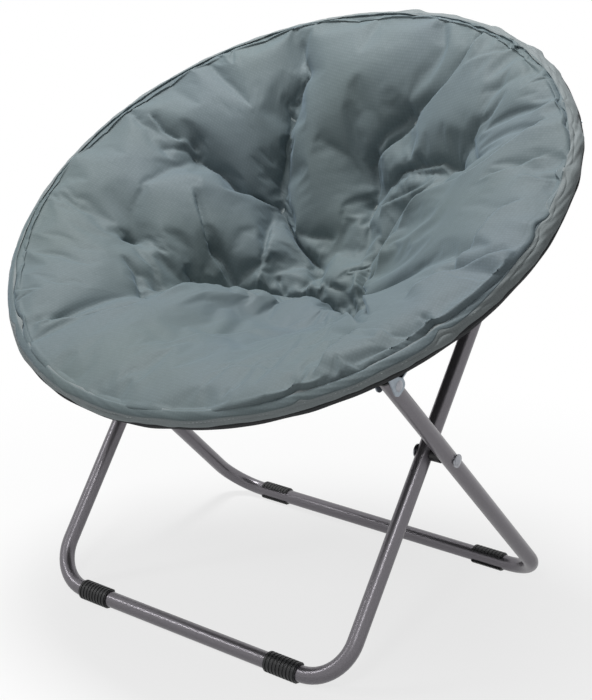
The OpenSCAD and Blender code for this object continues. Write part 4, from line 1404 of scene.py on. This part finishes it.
# the sling: black yarn, dull, with a coarser relief
black_polyester = woven("black_polyester", "1b1d1f", "121314", "232527", 0.8, 0.15, "7a8084", relief=0.35)
print(f"three cloths with threads drawn {THREAD_PITCH / MM:.1f} mm wide")

# %% [markdown]
# The seams are sewn with twisted polyester thread. Its colour is the thread's own grey with pale and dark
# specks of painted shine, where the twist would catch the light, so each stitch shows as a small bright bar.

# %% Twisted thread
# size of the specks of painted shine on the thread
SHINE_FLECK_SIZE = 1.2 * MM


def twisted(name, base, deep):
    """Thread: its own grey, with specks of painted shine in two greys on the object's coordinates, finer than
    a stitch.
    """
    made, tree, shader = new_finish(name)
    place = add_node(tree, "ShaderNodeTexCoord").outputs["Object"]
    # painted shine: noise puts pale and dark specks into the thread's colour
    shine_flecks = add_node(
        tree, "ShaderNodeTexNoise", {"Vector": place, "Scale": 1 / SHINE_FLECK_SIZE, "Detail": 1.0}
    ).outputs["Fac"]
    colour = add_node(
        tree, "ShaderNodeMix", data_type="RGBA",
        inputs={0: shine_flecks, LOW_COLOUR: light(base), HIGH_COLOUR: light(deep)},
    ).outputs[MIXED]
    tree.links.new(colour, shader.inputs["Base Color"])
    shader.inputs["Roughness"].default_value = 0.6
    return made


polyester_thread = twisted("polyester_thread", "c6cfce", "9aa4a4")
black_thread = twisted("black_polyester_thread", "2b2d2f", "161718")
print(f"flecks {SHINE_FLECK_SIZE / MM:.1f} mm wide on the thread")

# %% [markdown]
# The legs and the ring are steel tube with a metallic powder coat. The powder melts into a skin with fine
# metal flakes, which gives a soft gloss, and with a faint orange peel that only shows in the highlights.

# %% Powder-coated steel
FLAKE_SIZE = 1.5 * MM
PEEL_SIZE = 4 * MM
FINE_RELIEF = 0.1 * MM


def powder_coated(name, base, deep, rough, metal, peel):
    """A metallic coat: flakes of two greys, and the peel in the relief, both as noise of their own size."""
    made, tree, shader = new_finish(name)
    place = add_node(tree, "ShaderNodeTexCoord").outputs["Object"]
    flakes = add_node(
        tree, "ShaderNodeTexNoise", {"Vector": place, "Scale": 1 / FLAKE_SIZE, "Detail": 2.0}
    ).outputs["Fac"]
    colour = add_node(
        tree, "ShaderNodeMix", data_type="RGBA",
        inputs={0: flakes, LOW_COLOUR: light(base), HIGH_COLOUR: light(deep)},
    ).outputs[MIXED]
    tree.links.new(colour, shader.inputs["Base Color"])
    gloss = add_node(
        tree, "ShaderNodeMapRange", {"Value": flakes, "To Min": rough - 0.05, "To Max": rough + 0.07}
    ).outputs["Result"]
    tree.links.new(gloss, shader.inputs["Roughness"])
    shader.inputs["Metallic"].default_value = metal
    height = add_node(
        tree, "ShaderNodeTexNoise", {"Vector": place, "Scale": 1 / PEEL_SIZE, "Detail": 1.0}
    ).outputs["Fac"]
    bump = add_node(tree, "ShaderNodeBump", {"Height": height, "Strength": peel, "Distance": FINE_RELIEF})
    tree.links.new(bump.outputs["Normal"], shader.inputs["Normal"])
    return made


coated_steel = powder_coated("powder_coated_steel", "807d82", "6c696e", 0.3, 0.6, 0.12)
print(f"flakes {FLAKE_SIZE / MM:.1f} mm wide, peel {PEEL_SIZE / MM:.0f} mm wide")

# %% [markdown]
# The brackets and hinge plates are bent steel sheet with a zinc plating, and the rivets are headed steel.
# Zinc dulls to a bluish grey with cloudy patches. The rolls leave fine scratches that run one way.

# %% Zinc-plated steel
BLOTCH_SIZE = 6 * MM
SCRATCH_SIZE = 0.5 * MM
SCRATCH_DRAWN = (1, 1, 0.06)


def plated(name, base, deep, rough):
    """Plated or bare metal: blotches of two greys, and in the gloss noise drawn out one way as scratches."""
    made, tree, shader = new_finish(name)
    place = add_node(tree, "ShaderNodeTexCoord").outputs["Object"]
    drawn = add_node(tree, "ShaderNodeMapping", {"Vector": place, "Scale": SCRATCH_DRAWN}).outputs["Vector"]
    scratches = add_node(
        tree, "ShaderNodeTexNoise", {"Vector": drawn, "Scale": 1 / SCRATCH_SIZE, "Detail": 2.0}
    ).outputs["Fac"]
    blotches = add_node(
        tree, "ShaderNodeTexNoise", {"Vector": place, "Scale": 1 / BLOTCH_SIZE, "Detail": 3.0}
    ).outputs["Fac"]
    colour = add_node(
        tree, "ShaderNodeMix", data_type="RGBA",
        inputs={0: blotches, LOW_COLOUR: light(base), HIGH_COLOUR: light(deep)},
    ).outputs[MIXED]
    tree.links.new(colour, shader.inputs["Base Color"])
    gloss = add_node(
        tree, "ShaderNodeMapRange", {"Value": scratches, "To Min": rough - 0.08, "To Max": rough + 0.1}
    ).outputs["Result"]
    tree.links.new(gloss, shader.inputs["Roughness"])
    shader.inputs["Metallic"].default_value = 1.0
    return made


zinc_plated_steel = plated("zinc_plated_steel", "98a1a9", "7e868e", 0.34)
headed_steel = plated("headed_steel", "a4a6ab", "86888e", 0.3)
print(f"blotches {BLOTCH_SIZE / MM:.0f} mm wide, scratches {SCRATCH_SIZE / MM:.1f} mm wide")

# %% [markdown]
# The feet, plugs and spacers are moulded polypropylene. The mould's grain spreads its shine, and use has
# rubbed it slightly paler in patches. Its IOR is about 1.5, which is what the shader starts with.

# %% Moulded polypropylene
GRAIN_SIZE = 1 * MM
RUBBED_SIZE = 12 * MM


def moulded(name, base, pale, rough):
    """Plastic: a grain as noise in the relief and the gloss, and slightly paler rubbed patches."""
    made, tree, shader = new_finish(name)
    place = add_node(tree, "ShaderNodeTexCoord").outputs["Object"]
    grain = add_node(
        tree, "ShaderNodeTexNoise", {"Vector": place, "Scale": 1 / GRAIN_SIZE, "Detail": 2.0}
    ).outputs["Fac"]
    rubbed = add_node(
        tree, "ShaderNodeTexNoise", {"Vector": place, "Scale": 1 / RUBBED_SIZE, "Detail": 3.0}
    ).outputs["Fac"]
    colour = add_node(
        tree, "ShaderNodeMix", data_type="RGBA",
        inputs={0: rubbed, LOW_COLOUR: light(base), HIGH_COLOUR: light(pale)},
    ).outputs[MIXED]
    tree.links.new(colour, shader.inputs["Base Color"])
    gloss = add_node(
        tree, "ShaderNodeMapRange", {"Value": grain, "To Min": rough - 0.06, "To Max": rough + 0.08}
    ).outputs["Result"]
    tree.links.new(gloss, shader.inputs["Roughness"])
    bump = add_node(tree, "ShaderNodeBump", {"Height": grain, "Strength": 0.2, "Distance": FINE_RELIEF})
    tree.links.new(bump.outputs["Normal"], shader.inputs["Normal"])
    return made


polypropylene = moulded("moulded_polypropylene", "141416", "1f2022", 0.46)
print(f"a grain {GRAIN_SIZE / MM:.0f} mm wide in the plastic")

# %% [markdown]
# The CAD pieces come with plain materials named for their slots. Each is swapped for the finish of its
# slot, so a piece keeps its slot however its finish changes.

# %% Finishes of the CAD pieces
FINISH_OF = {
    "tube_paint": coated_steel,
    "zinc_sheet": zinc_plated_steel,
    "rivet_steel": headed_steel,
    "black_plastic": polypropylene,
    "cover_cloth": woven_polyester,
    "black_cloth": black_polyester,
}
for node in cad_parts.values():
    for place in node.material_slots:
        given = place.material.name if place.material else ""
        slot_name = next((name for name in FINISH_OF if name in given), "tube_paint")
        place.material = FINISH_OF[slot_name]
print(f"{len(FINISH_OF)} finishes on {len(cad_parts)} CAD pieces")

# %% [markdown]
# ## What carries each piece
# The cushion, the sling and the tufts' stitches ride on the half of the ring that they lie on. The rim's
# cloth stays where it is made, in the room's frame.

# %% Cushion, sling and tufts
SQUASH_TO = to_room(0.0, 0.0, SLEEVE_R)


def dress(part, finish, slot_name, *stands_for):
    """Gives a piece its finish, and hides the CAD pieces that it takes the place of. Its slot_name is not
    used.
    """
    part.data.materials.append(finish)
    if stands_for:
        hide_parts(*stands_for)


def carry(part, body):
    """Lets a piece ride on half of the ring, with a mesh of its own."""
    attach(part, body)
    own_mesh(part)


for part, body in ((cushion_front, "ring_front"), (cushion_rear, "ring_rear")):
    dress(part, woven_polyester, "cover_cloth", "seat_pad")
    carry(part, body)
for part, body in ((sling_front, "ring_front"), (sling_rear, "ring_rear")):
    dress(part, black_polyester, "black_cloth", "seat_sling")
    carry(part, body)
for part, body, slot_name in tuft_threads:
    dress(part, black_thread if slot_name == "black_cloth" else polyester_thread, slot_name)
    carry(part, body)

# %% The rim's cloth
FOLD_HALF = 12 * MM
fold_from = to_room(0.0, HINGE_BACK - FOLD_HALF, 0.0)
fold_to = to_room(0.0, HINGE_BACK + FOLD_HALF, 0.0)

dress(rim_band, polyester_webbing, "cover_cloth", "front_sleeve", "rear_sleeve")
dress(rim_under, black_polyester, "black_cloth", "front_sleeve", "rear_sleeve")
dress(hem_thread, polyester_thread, "cover_cloth")
for part in (rim_band, rim_under, hem_thread):
    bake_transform(part)
print(f"the rim's cloth bends within {2 * FOLD_HALF / MM:.0f} mm at each hinge")

# %% [markdown]
# ## The sheets' cuts
# The flat size that each sheet of cloth was cut to is worked out and printed. A sling's half is cut as wide
# as the bowl's arc from rim to rim, and as long as the arc from the rim to the hinge line. The rim's two
# cloths are strips once round the ring, as wide as the arc that they cover on the tube.

# %% Flat sizes
ARC_STEPS = 400


def arc_across(place):
    """Length of the bowl's line across it from rim to rim: the sum of its short steps' lengths."""
    half = math.sqrt(PAD_RADIUS**2 - place**2)
    x = np.linspace(-half, half, ARC_STEPS)
    return float(np.hypot(np.diff(x), np.diff(bowl(x, place))).sum())


def arc_back(place):
    """Length of the bowl's line along its middle, from the front rim back to a place."""
    s = np.linspace(-PAD_RADIUS, place, ARC_STEPS)
    return float(np.hypot(np.diff(s), np.diff(bowl(0.0, s))).sum())


def cloth_area(part):
    """Area of one side of a sheet, before its wall is added."""
    return sum(face.area for face in part.data.polygons)


front_cut = (arc_across(0.0), arc_back(HINGE_BACK))
rear_cut = (arc_across(HINGE_BACK), arc_back(PAD_RADIUS) - front_cut[1])
strip_long = 2 * math.pi * RING_RADIUS
band_cut = ((BAND_TO - BAND_FROM) * SLEEVE_R, strip_long)
under_cut = ((UNDER_FROM - UNDER_TO) * SLEEVE_R, strip_long)
for name, cut in (("front", front_cut), ("rear", rear_cut), ("band", band_cut), ("under", under_cut)):
    print(f"{name}: cut {cut[0] / MM:.0f} by {cut[1] / MM:.0f} mm")

print(f"the sling's halves are {cloth_area(sling_front):.3f} and {cloth_area(sling_rear):.3f} square metres")

# %% [markdown]
# ## The studio
# A pale floor and an even white room. The camera sees both as white, and the floor keeps a soft shadow
# of the chair. Three soft boxes give the light.

# %% Seen as white
def seen_as_white(tree):
    """1 for a ray from the camera, a mirror or glass, and 0 for one that lights the chair."""
    path = add_node(tree, "ShaderNodeLightPath").outputs
    seen = path["Is Camera Ray"]
    for ray in ("Is Glossy Ray", "Is Transmission Ray"):
        either = add_node(tree, "ShaderNodeMath", {0: seen, 1: path[ray]}, operation="MAXIMUM")
        seen = either.outputs[0]
    return seen


# %% Floor
FIBRE_SIZE = 3 * MM
FLOOR_HALF = 30
SHADOW_FROM = 0.2
SHADOW_SHARE = 0.25
SHADOW_REACH = 1.1
WHITE = (1, 1, 1, 1)


def white_paper():
    """The floor: matt pale paper, which cameras and mirrors see mixed with plain white."""
    made, tree, shader = new_finish("white_paper")
    place = add_node(tree, "ShaderNodeTexCoord").outputs["Object"]
    fibres = add_node(
        tree, "ShaderNodeTexNoise", {"Vector": place, "Scale": 1 / FIBRE_SIZE, "Detail": 3.0}
    ).outputs["Fac"]
    colour = add_node(
        tree, "ShaderNodeMix", data_type="RGBA",
        inputs={0: fibres, LOW_COLOUR: light("e6e6e6"), HIGH_COLOUR: light("ececec")},
    ).outputs[MIXED]
    tree.links.new(colour, shader.inputs["Base Color"])
    shader.inputs["Roughness"].default_value = 0.9
    away = add_node(tree, "ShaderNodeVectorMath", {0: place}, operation="LENGTH").outputs["Value"]
    near = add_node(
        tree, "ShaderNodeMapRange", interpolation_type="SMOOTHSTEP",
        inputs={"Value": away, "From Min": SHADOW_FROM, "From Max": SHADOW_REACH, "To Min": 1 - SHADOW_SHARE},
    ).outputs["Result"]
    share = add_node(tree, "ShaderNodeMath", {0: seen_as_white(tree), 1: near}, operation="MULTIPLY")
    glow = add_node(tree, "ShaderNodeEmission", {"Color": WHITE, "Strength": 1.0})
    both = add_node(
        tree, "ShaderNodeMixShader", {0: share.outputs[0], 1: shader.outputs[0], 2: glow.outputs[0]}
    )
    out = next(node for node in tree.nodes if node.type == "OUTPUT_MATERIAL")
    tree.links.new(both.outputs[0], out.inputs["Surface"])
    return made


corners = FLOOR_HALF * np.array([(-1, -1, 0), (1, -1, 0), (1, 1, 0), (-1, 1, 0)])
floor = add_mesh("floor", corners, [(0, 1, 2, 3)])
floor.data.materials.append(white_paper())
print(f"the floor is {2 * FLOOR_HALF} m wide, and keeps {SHADOW_SHARE:.0%} of the shadow under the chair")

# %% Room
ROOM_STRENGTH = 0.09

world = bpy.data.worlds.new("white_room")
world.use_nodes = True
tree = world.node_tree
tree.nodes.clear()
dim = add_node(tree, "ShaderNodeBackground", {"Color": WHITE, "Strength": ROOM_STRENGTH})
white = add_node(tree, "ShaderNodeBackground", {"Color": WHITE, "Strength": 1.0})
both = add_node(
    tree, "ShaderNodeMixShader", {0: seen_as_white(tree), 1: dim.outputs[0], 2: white.outputs[0]}
)
add_node(tree, "ShaderNodeOutputWorld", {"Surface": both.outputs[0]})
bpy.context.scene.world = world
print(f"the room lights the chair with {ROOM_STRENGTH:.0%} of the white that is seen")

# %% [markdown]
# The large box hangs above the chair, as the light over the bowl shows. Two small ones stand in front, at
# the sitter's left and right, and draw narrow bright streaks along the tubes. The colours are shown as they
# are, without a film look, because the photograph's tones are plain too.

# %% Lamps
AIM = Vector((0, 0, 0.5))


def soft_box(name, place, size, watts):
    """A square lamp that faces the chair."""
    lamp = bpy.data.lights.new(name, "AREA")
    lamp.energy = watts
    lamp.size = size
    obj = bpy.data.objects.new(name, lamp)
    obj.location = place
    obj.rotation_euler = (Vector(place) - AIM).to_track_quat("Z", "Y").to_euler()
    bpy.context.scene.collection.objects.link(obj)
    print(f"{name}: {size} m wide, {watts} W, {(Vector(place) - AIM).length:.1f} m away")


soft_box("top_box", (-0.5, 0.1, 2.6), 0.8, 58)
soft_box("front_box", (0.75, -1.9, 1.85), 0.35, 9)
soft_box("side_box", (-1.6, -1.5, 1.8), 0.4, 8)

bpy.context.scene.view_settings.view_transform = "Standard"
